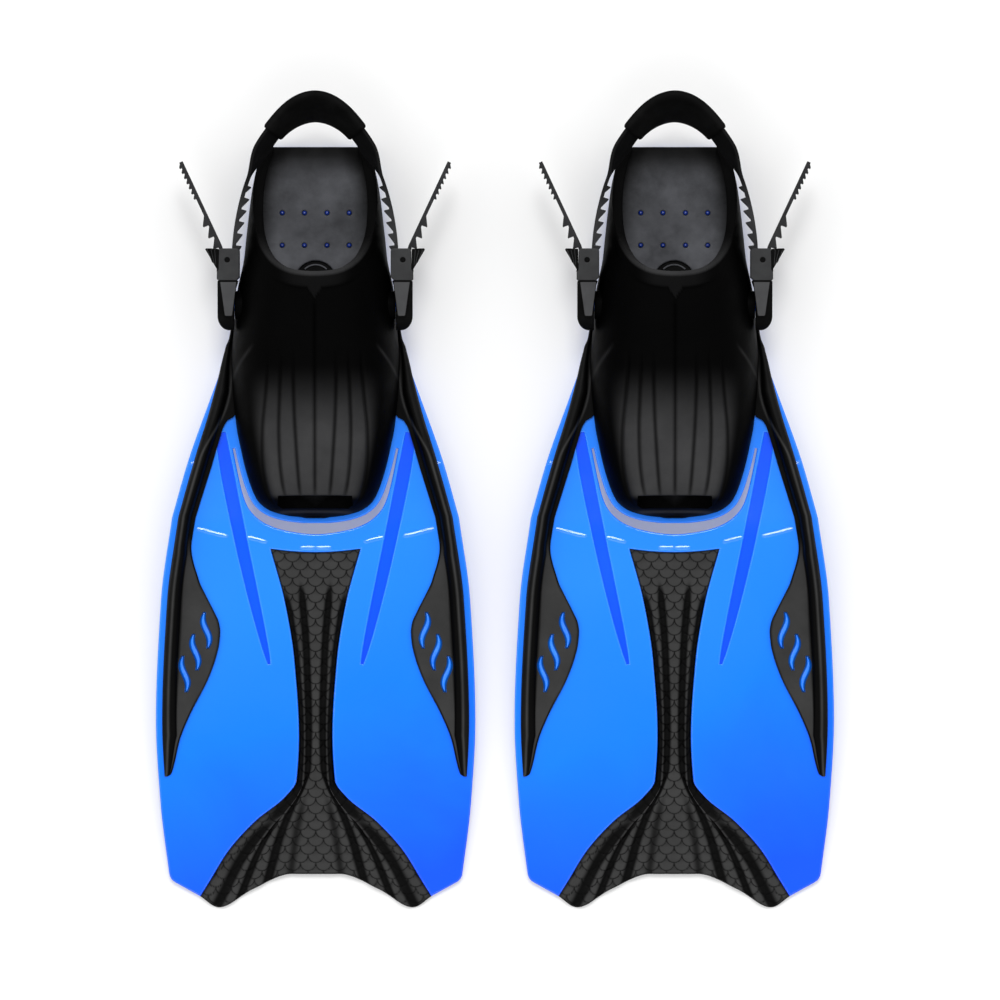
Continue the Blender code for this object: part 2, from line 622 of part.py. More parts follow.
def footbed():
    """Pad inside the pocket, with holes for the blade's studs and a half-moon hollow at the instep."""
    def inside(y):
        return hollow_half(y, FOOTBED) - FIT

    stations = [share * FOOT_LENGTH for share in POCKET_STATIONS[2:-1]]
    half = [(0.0, FOOTBED_TOE + POCKET_WALL), (0.5 * inside(stations[0]), FOOTBED_TOE + POCKET_WALL)]
    half += [(inside(y), y) for y in stations]
    half += [(inside(FOOT_LENGTH), FOOT_LENGTH - FIT), (0.0, FOOT_LENGTH - FIT)]
    bm = bmesh.new()
    prism(bm, both_sides(half), SEAT_Z, SEAT_Z + FOOTBED)
    pad = mesh_from(bm)
    bm = bmesh.new()
    hole = ((STUD_RADIUS + FIT, -PLATE), (STUD_RADIUS + FIT, 2.0 * FOOTBED))
    for x in STUD_COLUMNS:
        for row in STUD_ROWS:
            turned(bm, hole, STUD_SIDES, (x, FOOT_LENGTH - row, SEAT_Z))
    front = FOOT_LENGTH - MOUTH_LENGTH
    arc = [math.pi * step / 10 for step in range(11)]
    moon = [(HALF_MOON * math.cos(turn), front + HALF_MOON * math.sin(turn)) for turn in arc]
    prism(bm, moon, SEAT_Z + FOOTBED - HALF_MOON_DEPTH, SEAT_Z + 2.0 * FOOTBED)
    return combined(pad, mesh_from(bm), "DIFFERENCE")


def post():
    """Snap stud at +X: a flange inside the pocket, a shank through its boss and a head in the arm."""
    head = ARM_IN + BOSS_WALL - FLANGE_THICK + FIT
    profile = ((POST_FLANGE, POST_SEAT - FIT - FLANGE_THICK), (POST_FLANGE, POST_SEAT - FIT),
               (POST_RADIUS, POST_SEAT - FIT), (POST_RADIUS, head), (POST_HEAD, head),
               (POST_HEAD, head + 0.5 * HEAD_THICK), (0.7 * POST_HEAD, head + HEAD_THICK))
    bm = bmesh.new()
    turned(bm, profile, POST_SIDES, (0.0, POST_Y, POST_Z), axis="x")
    return mesh_from(bm)


# Heel strap, drawn in the strap's own frame

def strap_line():
    """Middle of the band at +X, from the heel round the bar to the tail's tip, as dense points."""
    across, reach = BAR_X - WRAP, STRAP_REACH - BAR_Y
    power = 2.0 / STRAP_POWER
    line = []
    for turn in np.linspace(0.5 * math.pi, 0.0, 60):
        line.append((across * math.cos(turn) ** power, BAR_Y + reach * math.sin(turn) ** power))
    line[0] = (0.0, STRAP_REACH)
    for turn in np.linspace(math.pi, math.tau, 25)[1:]:
        line.append((BAR_X + WRAP * math.cos(turn), BAR_Y + WRAP * math.sin(turn)))
    foot = np.array((BAR_X + WRAP, BAR_Y + TAIL_RISE))
    for turn in np.linspace(0.0, TAIL_LEAN, 8):
        line.append((foot[0] + TAIL_BEND * (1.0 - math.cos(turn)), foot[1] + TAIL_BEND * math.sin(turn)))
    way = np.array((math.sin(TAIL_LEAN), math.cos(TAIL_LEAN)))
    start = np.array(line[-1])
    line += [tuple(start + way * TAIL_LENGTH * share) for share in np.linspace(0.02, 1.0, 40)]
    return np.array(line)


class StrapPath:
    """Places along the middle of the band, by distance from the heel."""

    def __init__(self):
        self.line = strap_line()
        steps = np.linalg.norm(np.diff(self.line, axis=0), axis=1)
        self.run = np.concatenate(([0.0], np.cumsum(steps)))
        along = np.gradient(self.line, axis=0)
        along[0] = (1.0, 0.0)
        along /= np.linalg.norm(along, axis=1)[:, None]
        self.across = np.stack((-along[:, 1], along[:, 0]), axis=1)

    def length(self):
        """Length of the band from the heel to the tail's tip."""
        return self.run[-1]

    def at(self, distance, offset):
        """Point at a distance from the heel, set off to the side away from the heel's middle."""
        place = [np.interp(distance, self.run, self.line[:, axis]) for axis in (0, 1)]
        side = [np.interp(distance, self.run, self.across[:, axis]) for axis in (0, 1)]
        return place[0] + offset * side[0], place[1] + offset * side[1]

    def spot(self, distance, across, rise):
        """Point in the band's section at a distance from the heel, with the band's lean."""
        past = min(max((distance - LEAN_HOLD) / (LEAN_END - LEAN_HOLD), 0.0), 1.0)
        lean = STRAP_LEAN * (1.0 - past * past * (3.0 - 2.0 * past))
        x, y = self.at(distance, across * math.cos(lean) + rise * math.sin(lean))
        return Vector((x, y, rise * math.cos(lean) - across * math.sin(lean)))

    def nearest(self, x, y):
        """Distance from the heel of the dense point that is nearest to a place."""
        return self.run[int(np.argmin(np.hypot(self.line[:, 0] - x, self.line[:, 1] - y)))]


def tooth_places(path):
    """Distance of each tooth's steep face from the heel, and its scale: fine ones are at the tail's tip."""
    bar = path.nearest(BAR_X - WRAP, BAR_Y)
    teeth = [(bar - TOOTH_PITCH * (index + 1.2), 1.0) for index in range(SIDE_TEETH)]
    pawl = path.nearest(BAR_X + WRAP, ARM_LENGTH + PAWL_RISE)
    teeth += [(pawl + TOOTH_PITCH * (index + 0.5), 1.0) for index in range(TAIL_TEETH)]
    tip = path.length() - FINE_PITCH
    teeth += [(tip - FINE_PITCH * index, FINE_SCALE) for index in range(FINE_TEETH)]
    return sorted(teeth)


def heel_strap():
    """Band round the heel, over both bars and out to both tails, with teeth on one face."""
    path = StrapPath()
    bends = [path.run[index] for index in (*range(0, 60, 3), *range(60, 85, 3), *range(84, 93, 2), -1)]
    half, outer = 0.5 * STRAP_BAND, 0.5 * STRAP_THICK
    stations = [(distance, -outer) for distance in sorted(set(bends))]
    for place, scale in tooth_places(path):
        steep, flat, end = (place + scale * run for run in (TOOTH_DRAFT, TOOTH_TIP, TOOTH_RAMP))
        stations = [item for item in stations if not place - FIT < item[0] < end + FIT]
        high = -outer - scale * TOOTH_HIGH
        stations += [(place, -outer), (steep, high), (flat, high), (end, -outer)]
    rings = []
    for distance, inner in sorted(stations):
        section = ((outer, half), (outer, -half), (inner, -half), (inner, half))
        rings.append([path.spot(distance, across, rise) for across, rise in section])
    other = [[Vector((-point.x, point.y, point.z)) for point in ring] for ring in reversed(rings[1:])]
    bm = bmesh.new()
    loft(bm, other + rings)
    return mesh_from(bm)


def heel_pad():
    """Sleeve on the band behind the heel, with a slot that the band runs through."""
    path = StrapPath()
    crossing = int(np.argmax(path.line[:, 0] > PAD_HALF))
    reach = path.run[crossing]
    thick, slot = 0.5 * PAD_THICK, 0.5 * STRAP_THICK + FIT
    rings, cuts = [], []
    for share in np.linspace(-1.0, 1.0, PAD_STATIONS):
        side = -1.0 if share < 0.0 else 1.0
        fall = share * share * (3.0 - 2.0 * abs(share))
        high = 0.5 * (PAD_BAND + (PAD_END_BAND - PAD_BAND) * fall)
        ease = thick * (1.0 - 0.2 * share ** 6)
        section = ((-ease, high - thick), (-0.4 * ease, high), (0.4 * ease, high), (ease, high - thick))
        section += tuple((across, -rise) for across, rise in reversed(section))
        ring = [path.spot(abs(share) * reach, across, rise) for across, rise in section]
        rings.append([Vector((side * point.x, point.y, point.z)) for point in ring])
        edge = 0.5 * STRAP_BAND + FIT
        longer = 1.15 * abs(share) * reach
        cut = [path.spot(longer, across, rise) for across, rise in
               ((-slot, edge), (slot, edge), (slot, -edge), (-slot, -edge))]
        cuts.append([Vector((side * point.x, point.y, point.z)) for point in cut])
    bm = bmesh.new()
    loft(bm, rings)
    body = mesh_from(bm)
    bm = bmesh.new()
    loft(bm, cuts)
    return combined(body, mesh_from(bm), "DIFFERENCE")


# Buckles at +X, drawn in the strap's own frame

def buckle_arm():
    """Arm that swings on a post, with a blind bore for its head and a slot for the frame's tongue."""
    def outline(inset):
        half = CHEEK_OUT - inset
        end = [(-(ARM_TOE - inset) * math.cos(turn), (ARM_END - inset) * math.sin(turn))
               for turn in np.linspace(-0.45 * math.pi, 0.45 * math.pi, 9)]
        return [(ARM_LENGTH, half), (0.55 * ARM_LENGTH, half), *reversed(end),
                (0.55 * ARM_LENGTH, -half), (ARM_LENGTH, -half)]

    bm = bmesh.new()
    levels = ((ARM_IN, 0.0), (ARM_OUT - ARM_CHAMFER, 0.0), (ARM_OUT, ARM_CHAMFER))
    loft(bm, [[Vector((x, y, z)) for y, z in outline(inset)] for x, inset in levels])
    body = mesh_from(bm)
    bm = bmesh.new()
    head = ARM_IN + BOSS_WALL - FLANGE_THICK
    bore = ((POST_RADIUS + FIT, ARM_IN - FIT), (POST_RADIUS + FIT, head), (POST_HEAD + FIT, head),
            (POST_HEAD + FIT, head + HEAD_THICK + 2.0 * FIT))
    turned(bm, bore, POST_SIDES, (0.0, 0.0, 0.0), axis="x")
    low = FRAME_LOW - TONGUE_LENGTH - FIT
    x = BAR_X - 0.5 * TONGUE_THICK - FIT
    slot = ((x, low), (x + TONGUE_THICK + 2.0 * FIT, low))
    slot += tuple((place, 2.0 * ARM_LENGTH) for place, _ in reversed(slot))
    prism(bm, slot, -0.5 * TONGUE_WIDTH - FIT, 0.5 * TONGUE_WIDTH + FIT)
    return combined(body, mesh_from(bm), "DIFFERENCE")


def cheek_outline():
    """Side plate of the buckle frame, with an ear round the lever's pin."""
    out = FRAME_IN + FRAME_WIDTH
    ear = [(PIVOT_X + LEVER_EYE * math.cos(turn), PIVOT_Y + LEVER_EYE * math.sin(turn))
           for turn in np.linspace(-0.5 * math.pi, 0.3 * math.pi, 6)]
    round_in = 0.16 * FRAME_WIDTH
    return [(FRAME_IN + round_in, FRAME_LOW), *ear, (out, FRAME_TOP - round_in),
            (out - round_in, FRAME_TOP), (FRAME_IN + round_in, FRAME_TOP),
            (FRAME_IN, FRAME_TOP - round_in), (FRAME_IN, FRAME_LOW + round_in)]


def buckle_frame():
    """Two cheeks on a floor, with a tongue that snaps into the arm and holes for bar and pin."""
    bm = bmesh.new()
    prism(bm, cheek_outline(), CHEEK_IN, CHEEK_OUT)
    body = mesh_from(bm)
    bm = bmesh.new()
    prism(bm, cheek_outline(), -CHEEK_OUT, -CHEEK_IN)
    body = combined(body, mesh_from(bm), "UNION")
    bm = bmesh.new()
    left, right = FRAME_IN + 0.2 * FRAME_WIDTH, PIVOT_X - LEVER_EYE - SIDE_PLAY
    low = FRAME_LOW + 0.2 * FRAME_FLOOR
    floor = ((left, low), (right, low), (right, FRAME_LOW + FRAME_FLOOR), (left, FRAME_LOW + FRAME_FLOOR))
    prism(bm, floor, -CHEEK_OUT + 0.25 * CHEEK, CHEEK_OUT - 0.25 * CHEEK)
    body = combined(body, mesh_from(bm), "UNION")
    bm = bmesh.new()
    x, end, root = BAR_X - 0.5 * TONGUE_THICK, FRAME_LOW - TONGUE_LENGTH, low + 0.5 * FRAME_FLOOR
    tongue = ((x, end), (x + TONGUE_THICK, end), (x + TONGUE_THICK, root), (x, root))
    prism(bm, tongue, -0.5 * TONGUE_WIDTH, 0.5 * TONGUE_WIDTH)
    body = combined(body, mesh_from(bm), "UNION")
    bm = bmesh.new()
    for x, y, radius in ((BAR_X, BAR_Y, BAR_RADIUS), (PIVOT_X, PIVOT_Y, LEVER_PIN)):
        hole = ((radius + FIT, -2.0 * CHEEK_OUT), (radius + FIT, 2.0 * CHEEK_OUT))
        turned(bm, hole, PIN_SIDES, (x, y, 0.0))
    return combined(body, mesh_from(bm), "DIFFERENCE")


def cross_pin(x, y, radius):
    """Plain pin across the frame, flush with its cheeks and chamfered at both ends."""
    chamfer = 0.2 * radius
    profile = ((radius - chamfer, -CHEEK_OUT), (radius, chamfer - CHEEK_OUT),
               (radius, CHEEK_OUT - chamfer), (radius - chamfer, CHEEK_OUT))
    bm = bmesh.new()
    turned(bm, profile, PIN_SIDES, (x, y, 0.0))
    return mesh_from(bm)


def lever_outline():
    """Side of the release lever: an eye round the pin, a pawl to the strap and a notched wing."""
    face = BAR_X + WRAP + 0.5 * STRAP_THICK + TOOTH_HIGH + SIDE_PLAY
    pawl = ARM_LENGTH + PAWL_RISE
    tip = face - SIDE_PLAY - PAWL_REACH
    wing = face + LEVER_FLARE
    top = FRAME_TOP
    eye = [(PIVOT_X + LEVER_EYE * math.cos(turn), PIVOT_Y + LEVER_EYE * math.sin(turn))
           for turn in np.linspace(-math.pi, 0.0, 7)]
    line = [(face, pawl - 2.0 * PAWL_TIP), (tip, pawl - 0.5 * PAWL_TIP), (tip, pawl + 0.5 * PAWL_TIP),
            (face, pawl + 2.0 * PAWL_TIP), (face + 1.6 * SIDE_PLAY, top), (wing, top)]
    low = np.array(eye[-1]) + np.array((0.0, LEVER_EYE))
    edge = np.array((wing, top)) - low
    steps = []
    for index in range(GRIP_NOTCHES):
        share = 0.88 - 0.16 * index
        for place, depth in ((share, 0.0), (share - 0.04, GRIP_DEPTH), (share - 0.08, 0.0)):
            point = low + place * edge
            steps.append((point[0] - depth, point[1]))
    start = (PIVOT_X - LEVER_EYE, PIVOT_Y + 0.5 * LEVER_EYE)
    return [tuple(low)] + eye[::-1] + [start] + line + steps


def release_lever():
    """Release lever on its pin, cut out in the middle for the spring."""
    half = CHEEK_IN - 0.5 * SIDE_PLAY
    bm = bmesh.new()
    prism(bm, lever_outline(), -half, half)
    body = mesh_from(bm)
    bm = bmesh.new()
    hole = ((LEVER_PIN + FIT, -2.0 * half), (LEVER_PIN + FIT, 2.0 * half))
    turned(bm, hole, PIN_SIDES, (PIVOT_X, PIVOT_Y, 0.0))
    body = combined(body, mesh_from(bm), "DIFFERENCE")
    bm = bmesh.new()
    room = LEVER_EYE + SIDE_PLAY
    gap = 0.5 * COIL_TURNS * COIL_PITCH + WIRE + FIT
    well = ((PIVOT_X - 2.0 * room, PIVOT_Y - 2.0 * room), (PIVOT_X + 2.0 * room, PIVOT_Y - 2.0 * room),
            (PIVOT_X + 2.0 * room, PIVOT_Y + room), (PIVOT_X - 2.0 * room, PIVOT_Y + room))
    prism(bm, well, -gap, gap)
    body = combined(body, mesh_from(bm), "DIFFERENCE")
    return moved(body, (-PIVOT_X, -PIVOT_Y, 0.0))


def coil_line(side):
    """Points of a torsion spring round the lever's pin, from one short leg to the other."""
    points = []
    count = COIL_TURNS * COIL_POINTS + COIL_POINTS // 4
    start = -0.5 * math.pi
    for index in range(count + 1):
        turn = start - math.tau * index / COIL_POINTS
        rise = COIL_PITCH * (index / COIL_POINTS - 0.5 * count / COIL_POINTS)
        points.append(Vector((COIL_RADIUS * math.cos(turn), COIL_RADIUS * math.sin(turn), rise)))
    first = (points[0] - points[1]).normalized()
    last = (points[-1] - points[-2]).normalized()
    first.z = last.z = 0.0
    points = [points[0] + first * COIL_LEG] + points + [points[-1] + last * COIL_LEG]
    return [Vector((side * (PIVOT_X + point.x), PIVOT_Y + point.y, point.z)) for point in points]


def lever_spring(side):
    """Torsion spring as one unbroken wire."""
    points = coil_line(side)
    curve = bpy.data.curves.new("spring", "CURVE")
    curve.dimensions = "3D"
    curve.bevel_depth = WIRE
    curve.bevel_resolution = 1
    curve.use_fill_caps = True
    spline = curve.splines.new("POLY")
    spline.points.add(len(points) - 1)
    for target, point in zip(spline.points, points):
        target.co = (*point, 1.0)
    return curve


def spring_gap():
    """Least gap between turns of a lever spring."""
    points = coil_line(1)
    apart = COIL_POINTS // 2
    pairs = [(first, second) for index, first in enumerate(points) for second in points[index + apart:]]
    return min((first - second).length for first, second in pairs) - 2.0 * WIRE


# Materials, objects and placing

FINISHES = {
    "blue_plastic": ((0.010, 0.200, 0.950, 1.0), 0.25, 0.0),
    "black_rubber": ((0.012, 0.012, 0.013, 1.0), 0.55, 0.0),
    "grey_rubber": ((0.045, 0.047, 0.052, 1.0), 0.60, 0.0),
    "black_plastic": ((0.050, 0.052, 0.055, 1.0), 0.40, 0.0),
    "steel": ((0.550, 0.550, 0.560, 1.0), 0.30, 1.0),
}


def finish(name):
    """Material with a finish's colour, roughness and metallic value."""
    colour, roughness, metallic = FINISHES[name]
    material = bpy.data.materials.new(name)
    material.use_nodes = True
    shader = material.node_tree.nodes["Principled BSDF"]
    shader.inputs["Base Color"].default_value = colour
    shader.inputs["Roughness"].default_value = roughness
    shader.inputs["Metallic"].default_value = metallic
    return material


def side_pieces():
    """Pieces of one side at +X: name, mesh, finish, and what carries it."""
    return [
        ("rail", rail(), "black_rubber", "fin"),
        ("post", post(), "blue_plastic", "fin"),
        ("buckle_arm", buckle_arm(), "black_plastic", "strap"),
        ("buckle_frame", buckle_frame(), "black_plastic", "strap"),
        ("strap_bar", cross_pin(BAR_X, BAR_Y, BAR_RADIUS), "black_plastic", "strap"),
        ("lever_pin", cross_pin(PIVOT_X, PIVOT_Y, LEVER_PIN), "steel", "strap"),
        ("release_lever", release_lever(), "black_plastic", "lever"),
    ]


def fin_pieces():
    """Every piece of one fin: name, data, finish, and the frame that carries it."""
    pieces = [
        ("blade", blade(), "blue_plastic", "fin"),
        ("tail_insert", tail_insert(), "black_rubber", "fin"),
        ("foot_pocket", foot_pocket(), "black_rubber", "fin"),
        ("footbed", footbed(), "grey_rubber", "fin"),
        ("heel_strap", heel_strap(), "black_rubber", "strap"),
        ("heel_pad", heel_pad(), "black_rubber", "strap"),
        ("lever_spring_left", lever_spring(-1), "steel", "strap"),
        ("lever_spring_right", lever_spring(1), "steel", "strap"),
    ]
    for name, mesh, coat, carrier in side_pieces():
        for side, data in (("right", mesh), ("left", mirrored(mesh))):
            frame = f"lever_{side}" if carrier == "lever" else carrier
            pieces.append((f"{name}_{side}", data, coat, frame))
    return pieces


def empty(name, parent, place, turn=0.0):
    """Placing frame, turned about X."""
    item = bpy.data.objects.new(name, None)
    item.parent = parent
    item.location = place
    item.rotation_euler = (turn, 0.0, 0.0)
    bpy.context.scene.collection.objects.link(item)
    return item


def floor_pitch():
    """Angle that sets the sole's heel edge and the blade's tips on the floor together."""
    tip = drooped_point(Vector((0.0, -BLADE_LENGTH, 0.0)))
    heel = FOOT_LENGTH - SOLE_INSET
    return -math.atan2(-tip.z, heel - tip.y)


def place_fin(prefix, x, parent, pieces, materials):
    """Makes one fin's frames and objects."""
    fin = empty(f"{prefix}_frame", parent, (x, 0.0, 0.0), floor_pitch())
    strap = empty(f"{prefix}_strap_axis", fin, (0.0, POST_Y, POST_Z), STRAP_ANGLE)
    frames = {"fin": fin, "strap": strap}
    for side, sign in (("left", -1), ("right", 1)):
        place = (sign * PIVOT_X, PIVOT_Y, 0.0)
        frames[f"lever_{side}"] = empty(f"{prefix}_lever_axis_{side}", strap, place)
    for name, data, coat, frame in pieces:
        item = bpy.data.objects.new(f"{prefix}_{name}", data)
        item.parent = frames[frame]
        if not data.materials:
            data.materials.append(materials[coat])
        bpy.context.scene.collection.objects.link(item)


def centre_on_floor(root):
    """Moves the pair so that its box is centred on the origin and stands on the floor."""
    bpy.context.view_layer.update()
    corners = []
    for item in bpy.data.objects:
        if item.type in {"MESH", "CURVE"}:
            corners += [item.matrix_world @ vert.co for vert in item.to_mesh().vertices]
            item.to_mesh_clear()
    low = np.min(np.array(corners), axis=0)
    high = np.max(np.array(corners), axis=0)
    root.location = (-0.5 * (low[0] + high[0]), -0.5 * (low[1] + high[1]), -low[2])


def main():
    """Builds the pair."""
    for item in list(bpy.data.objects):
        bpy.data.objects.remove(item)
    pieces = fin_pieces()
    for _, data, _, _ in pieces:
        if isinstance(data, bpy.types.Mesh):
            data.shade_smooth()
            data.set_sharp_from_angle(angle=math.radians(35.0))
    materials = {name: finish(name) for name in FINISHES}
    root = empty("pair_frame", None, (0.0, 0.0, 0.0))
    spacing = 0.5 * (BLADE_WIDTH + FIN_GAP)
    place_fin("left_fin", -spacing, root, pieces, materials)
    place_fin("right_fin", spacing, root, pieces, materials)
    centre_on_floor(root)
    print(f"Least gap between turns of a lever spring: {spring_gap() / MM:.2f} mm")


main()
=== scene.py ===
"""Looks of a pair of open-heel snorkel fins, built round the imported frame.

A fin is drawn flat in its own plan, with X across it, Y from the tail tips to the heel and Y = 0 at the
toe of the foot pocket. The blade is then drooped, and the fin is set where the frame has it. The strap and
its buckles are drawn in the strap's own frame, with Y from the posts to the heel and Z across the band.
"""

import json
import logging
import math
from dataclasses import dataclass, field
from enum import Enum, IntEnum
from typing import Callable, Sequence

import bmesh
import bpy
import numpy as np
from mathutils import Matrix, Vector


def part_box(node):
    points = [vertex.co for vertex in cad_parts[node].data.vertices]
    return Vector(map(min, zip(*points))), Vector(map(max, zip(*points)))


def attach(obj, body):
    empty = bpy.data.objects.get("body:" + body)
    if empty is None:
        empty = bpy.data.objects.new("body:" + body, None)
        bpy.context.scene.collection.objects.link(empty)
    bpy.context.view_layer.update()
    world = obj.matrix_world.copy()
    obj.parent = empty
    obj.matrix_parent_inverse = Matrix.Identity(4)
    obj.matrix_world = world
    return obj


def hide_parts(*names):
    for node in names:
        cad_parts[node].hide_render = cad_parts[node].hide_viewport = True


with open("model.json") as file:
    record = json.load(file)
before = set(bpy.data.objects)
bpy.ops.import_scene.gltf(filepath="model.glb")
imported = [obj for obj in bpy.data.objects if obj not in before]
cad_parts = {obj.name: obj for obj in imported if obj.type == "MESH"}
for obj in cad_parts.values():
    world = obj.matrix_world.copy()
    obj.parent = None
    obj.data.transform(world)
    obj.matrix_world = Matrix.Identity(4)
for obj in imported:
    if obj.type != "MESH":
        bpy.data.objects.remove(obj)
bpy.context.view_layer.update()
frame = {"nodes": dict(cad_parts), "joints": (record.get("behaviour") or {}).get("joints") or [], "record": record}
LOG = logging.getLogger("fins")
MM = 0.001
Mesh = bpy.types.Mesh
BM = bmesh.types.BMesh
Faces = list[bmesh.types.BMFace]
Array = np.ndarray
Number = float | Array
Point = tuple[float, float]
Span = tuple[float, float]
Triple = tuple[float, float, float]
Shape = Callable[[Array, Array], Array]


class Side(Enum):
    """The two fins, and the two sides of each."""

    LEFT = "left"
    RIGHT = "right"

    @property
    def sign(self) -> float:
        """Direction of this side along X."""
        return -1.0 if self is Side.LEFT else 1.0


class Carrier(Enum):
    """Which of a fin's bodies a piece rides on."""

    FIN = "fin"
    STRAP = "strap"
    LEVER = "lever"


class Slot(IntEnum):
    """Material slots of a piece beyond its main one: a second, and two more on the blade."""

    SECOND = 1
    STUD = 2
    RIB = 3


# Curves and outlines

@dataclass(frozen=True)
class Curve:
    """Smooth curve through knots, without overshoot and flat past its ends."""

    knots: tuple[Point, ...]

    def at(self, place: Number) -> Array:
        """Values on the curve.

        Args:
            place: One place or an array of places along the curve.
        Returns:
            The value at each place.
        """
        places, values = np.array(self.knots).T
        place = np.clip(np.asarray(place, dtype=float), places[0], places[-1])
        spans = np.diff(places)
        rises = np.diff(values) / spans
        before, after = rises[:-1], rises[1:]
        same = before * after > 0.0
        middle = np.where(same, 2.0 * before * after / np.where(same, before + after, 1.0), 0.0)
        slopes = np.concatenate((rises[:1], middle, rises[-1:]))
        index = np.clip(np.searchsorted(places, place, side="right") - 1, 0, len(rises) - 1)
        span = spans[index]
        t = (place - places[index]) / span
        start = values[index] * (1 + 2 * t) * (1 - t) ** 2 + slopes[index] * span * t * (1 - t) ** 2
        end = values[index + 1] * t * t * (3 - 2 * t) + slopes[index + 1] * span * t * t * (t - 1)
        return start + end


def eased(low: float, high: float, value: Array) -> Array:
    """Smooth step from 0 at low to 1 at high."""
    t = np.clip((value - low) / (high - low), 0.0, 1.0)
    return t * t * (3.0 - 2.0 * t)


def faded(low: float, high: float, value: Array) -> Array:
    """Smooth step from 1 at low to 0 at high."""
    return 1.0 - eased(low, high, value)


def at_least(least: float, share: Array) -> Array:
    """Shares from 0 to 1, moved to run from a least value to 1."""
    return least + (1.0 - least) * share


def bell(value: Array, width: float) -> Array:
    """Smooth bump, 1 at 0 and gone a few widths away."""
    return np.exp(-((value / width) ** 2))


def signed_power(value: Array, power: float) -> Array:
    """Power of the size of a value, with the value's sign."""
    return np.sign(value) * np.abs(value) ** power


def bowed(start: Array, middle: Array, end: Array, t: float) -> Array:
    """Place on a curve that leaves start towards middle and comes from there to end, for t from 0 to 1."""
    return start * (1 - t) ** 2 + 2 * middle * t * (1 - t) + end * t * t


def directions(line: Array) -> Array:
    """Unit vectors along a line of points."""
    along = np.gradient(line, axis=0)
    return along / np.linalg.norm(along, axis=1)[:, None]


def read_line(line: Array, steps: Array, places: Array) -> Array:
    """Rows of a line, whose points lie at rising steps, at places between them."""
    return np.stack([np.interp(places, steps, column) for column in line.T], axis=1)


def arc(centre: Point, radius: float, start: float, end: float, count: int) -> list[Point]:
    """Points on an arc, with turns in shares of a half turn."""
    turns = np.linspace(start * math.pi, end * math.pi, count)
    return [(centre[0] + radius * math.cos(t), centre[1] + radius * math.sin(t)) for t in turns]


def circle(centre: Point, radius: float, count: int) -> list[Point]:
    """Points of a whole circle."""
    return arc(centre, radius, 0.0, 2.0 * (count - 1) / count, count)


def oblong(left: float, right: float, low: float, high: float) -> list[Point]:
    """Corners of a rectangle."""
    return [(left, low), (right, low), (right, high), (left, high)]


def offset_line(points: Array, distance: Number) -> Array:
    """Moves an open plan line sideways.

    Args:
        points: Points of the line.
        distance: Shift to the left of the line's direction, one for all points or one each.
    Returns:
        The moved points.
    """
    along = directions(points)
    shift = np.broadcast_to(np.asarray(distance, dtype=float), (len(points),))
    return points + shift[:, None] * np.stack((-along[:, 1], along[:, 0]), axis=1)


def both_sides(half: Sequence[Point]) -> list[Point]:
    """Closes a half outline, drawn from the tip end to the heel end at +X, with its mirror image."""
    points = [(float(x), float(y)) for x, y in half]
    return points + [(-x, y) for x, y in reversed(points) if x > 1e-7]


def flipped(points: Sequence[Point], side: Side) -> list[Point]:
    """Outline drawn at +X, for one side of the fin."""
    return [(side.sign * x, y) for x, y in points]


# Mesh making

def sheet(columns: int, rows: int, shape: Shape) -> BM:
    """Grid whose points are moved onto a surface.

    Args:
        columns: Faces across.
        rows: Faces along.
        shape: Gives the place of each (u, v), both from 0 to 1.
    Returns:
        The open sheet, with its doubled points merged.
    """
    bm = bmesh.new()
    bmesh.ops.create_grid(bm, x_segments=columns, y_segments=rows, size=0.5)
    flat = np.array([vert.co[:2] for vert in bm.verts]) + 0.5
    for vert, place in zip(bm.verts, shape(flat[:, 0], flat[:, 1])):
        vert.co = place
    bmesh.ops.remove_doubles(bm, verts=bm.verts, dist=0.01 * MM)
    bmesh.ops.recalc_face_normals(bm, faces=bm.faces)
    return bm


def borders(bm: BM) -> list[bmesh.types.BMEdge]:
    """Open edges of a mesh."""
    return [edge for edge in bm.edges if edge.is_boundary]


def paint(faces: Sequence[bmesh.types.BMFace | bpy.types.MeshPolygon], slot: Slot) -> None:
    """Gives faces one of their piece's material slots."""
    for face in faces:
        face.material_index = slot


def capped(bm: BM) -> BM:
    """Fills the open ends of a tube and turns its faces outwards."""
    bmesh.ops.holes_fill(bm, edges=borders(bm), sides=0)
    bmesh.ops.recalc_face_normals(bm, faces=bm.faces)
    return bm


def ring_of(bm: BM, points: Sequence[Point], height: float) -> list[bmesh.types.BMEdge]:
    """Adds a closed line of edges over plan points."""
    return loop_of(bm, [bm.verts.new((x, y, height)) for x, y in points])


def loop_of(bm: BM, verts: list[bmesh.types.BMVert]) -> list[bmesh.types.BMEdge]:
    """Joins points into a closed line of edges."""
    return [bm.edges.new((a, b)) for a, b in zip(verts, verts[1:] + verts[:1])]


def round_off(bm: BM, faces: Faces, start: float, radius: float, steps: int = 3) -> None:
    """Rounds the rim of a flat region.

    Args:
        bm: Mesh that holds the region.
        faces: Faces of the region.
        start: Height of the region before it is rounded.
        radius: Radius of the rim, negative where the region faces down.
        steps: Rings in the rim.
    """
    size, was = abs(radius), 0.0
    for step in range(1, steps + 2):
        turn = 0.5 * math.pi * min(step, steps) / steps
        inward = size * (1.0 - math.cos(turn)) + (0.3 * size if step > steps else 0.0)
        bmesh.ops.inset_region(bm, faces=faces, thickness=inward - was, use_even_offset=True, use_boundary=True)
        was = inward
        for vert in {vert for face in faces for vert in face.verts}:
            vert.co.z = start + radius * math.sin(turn)


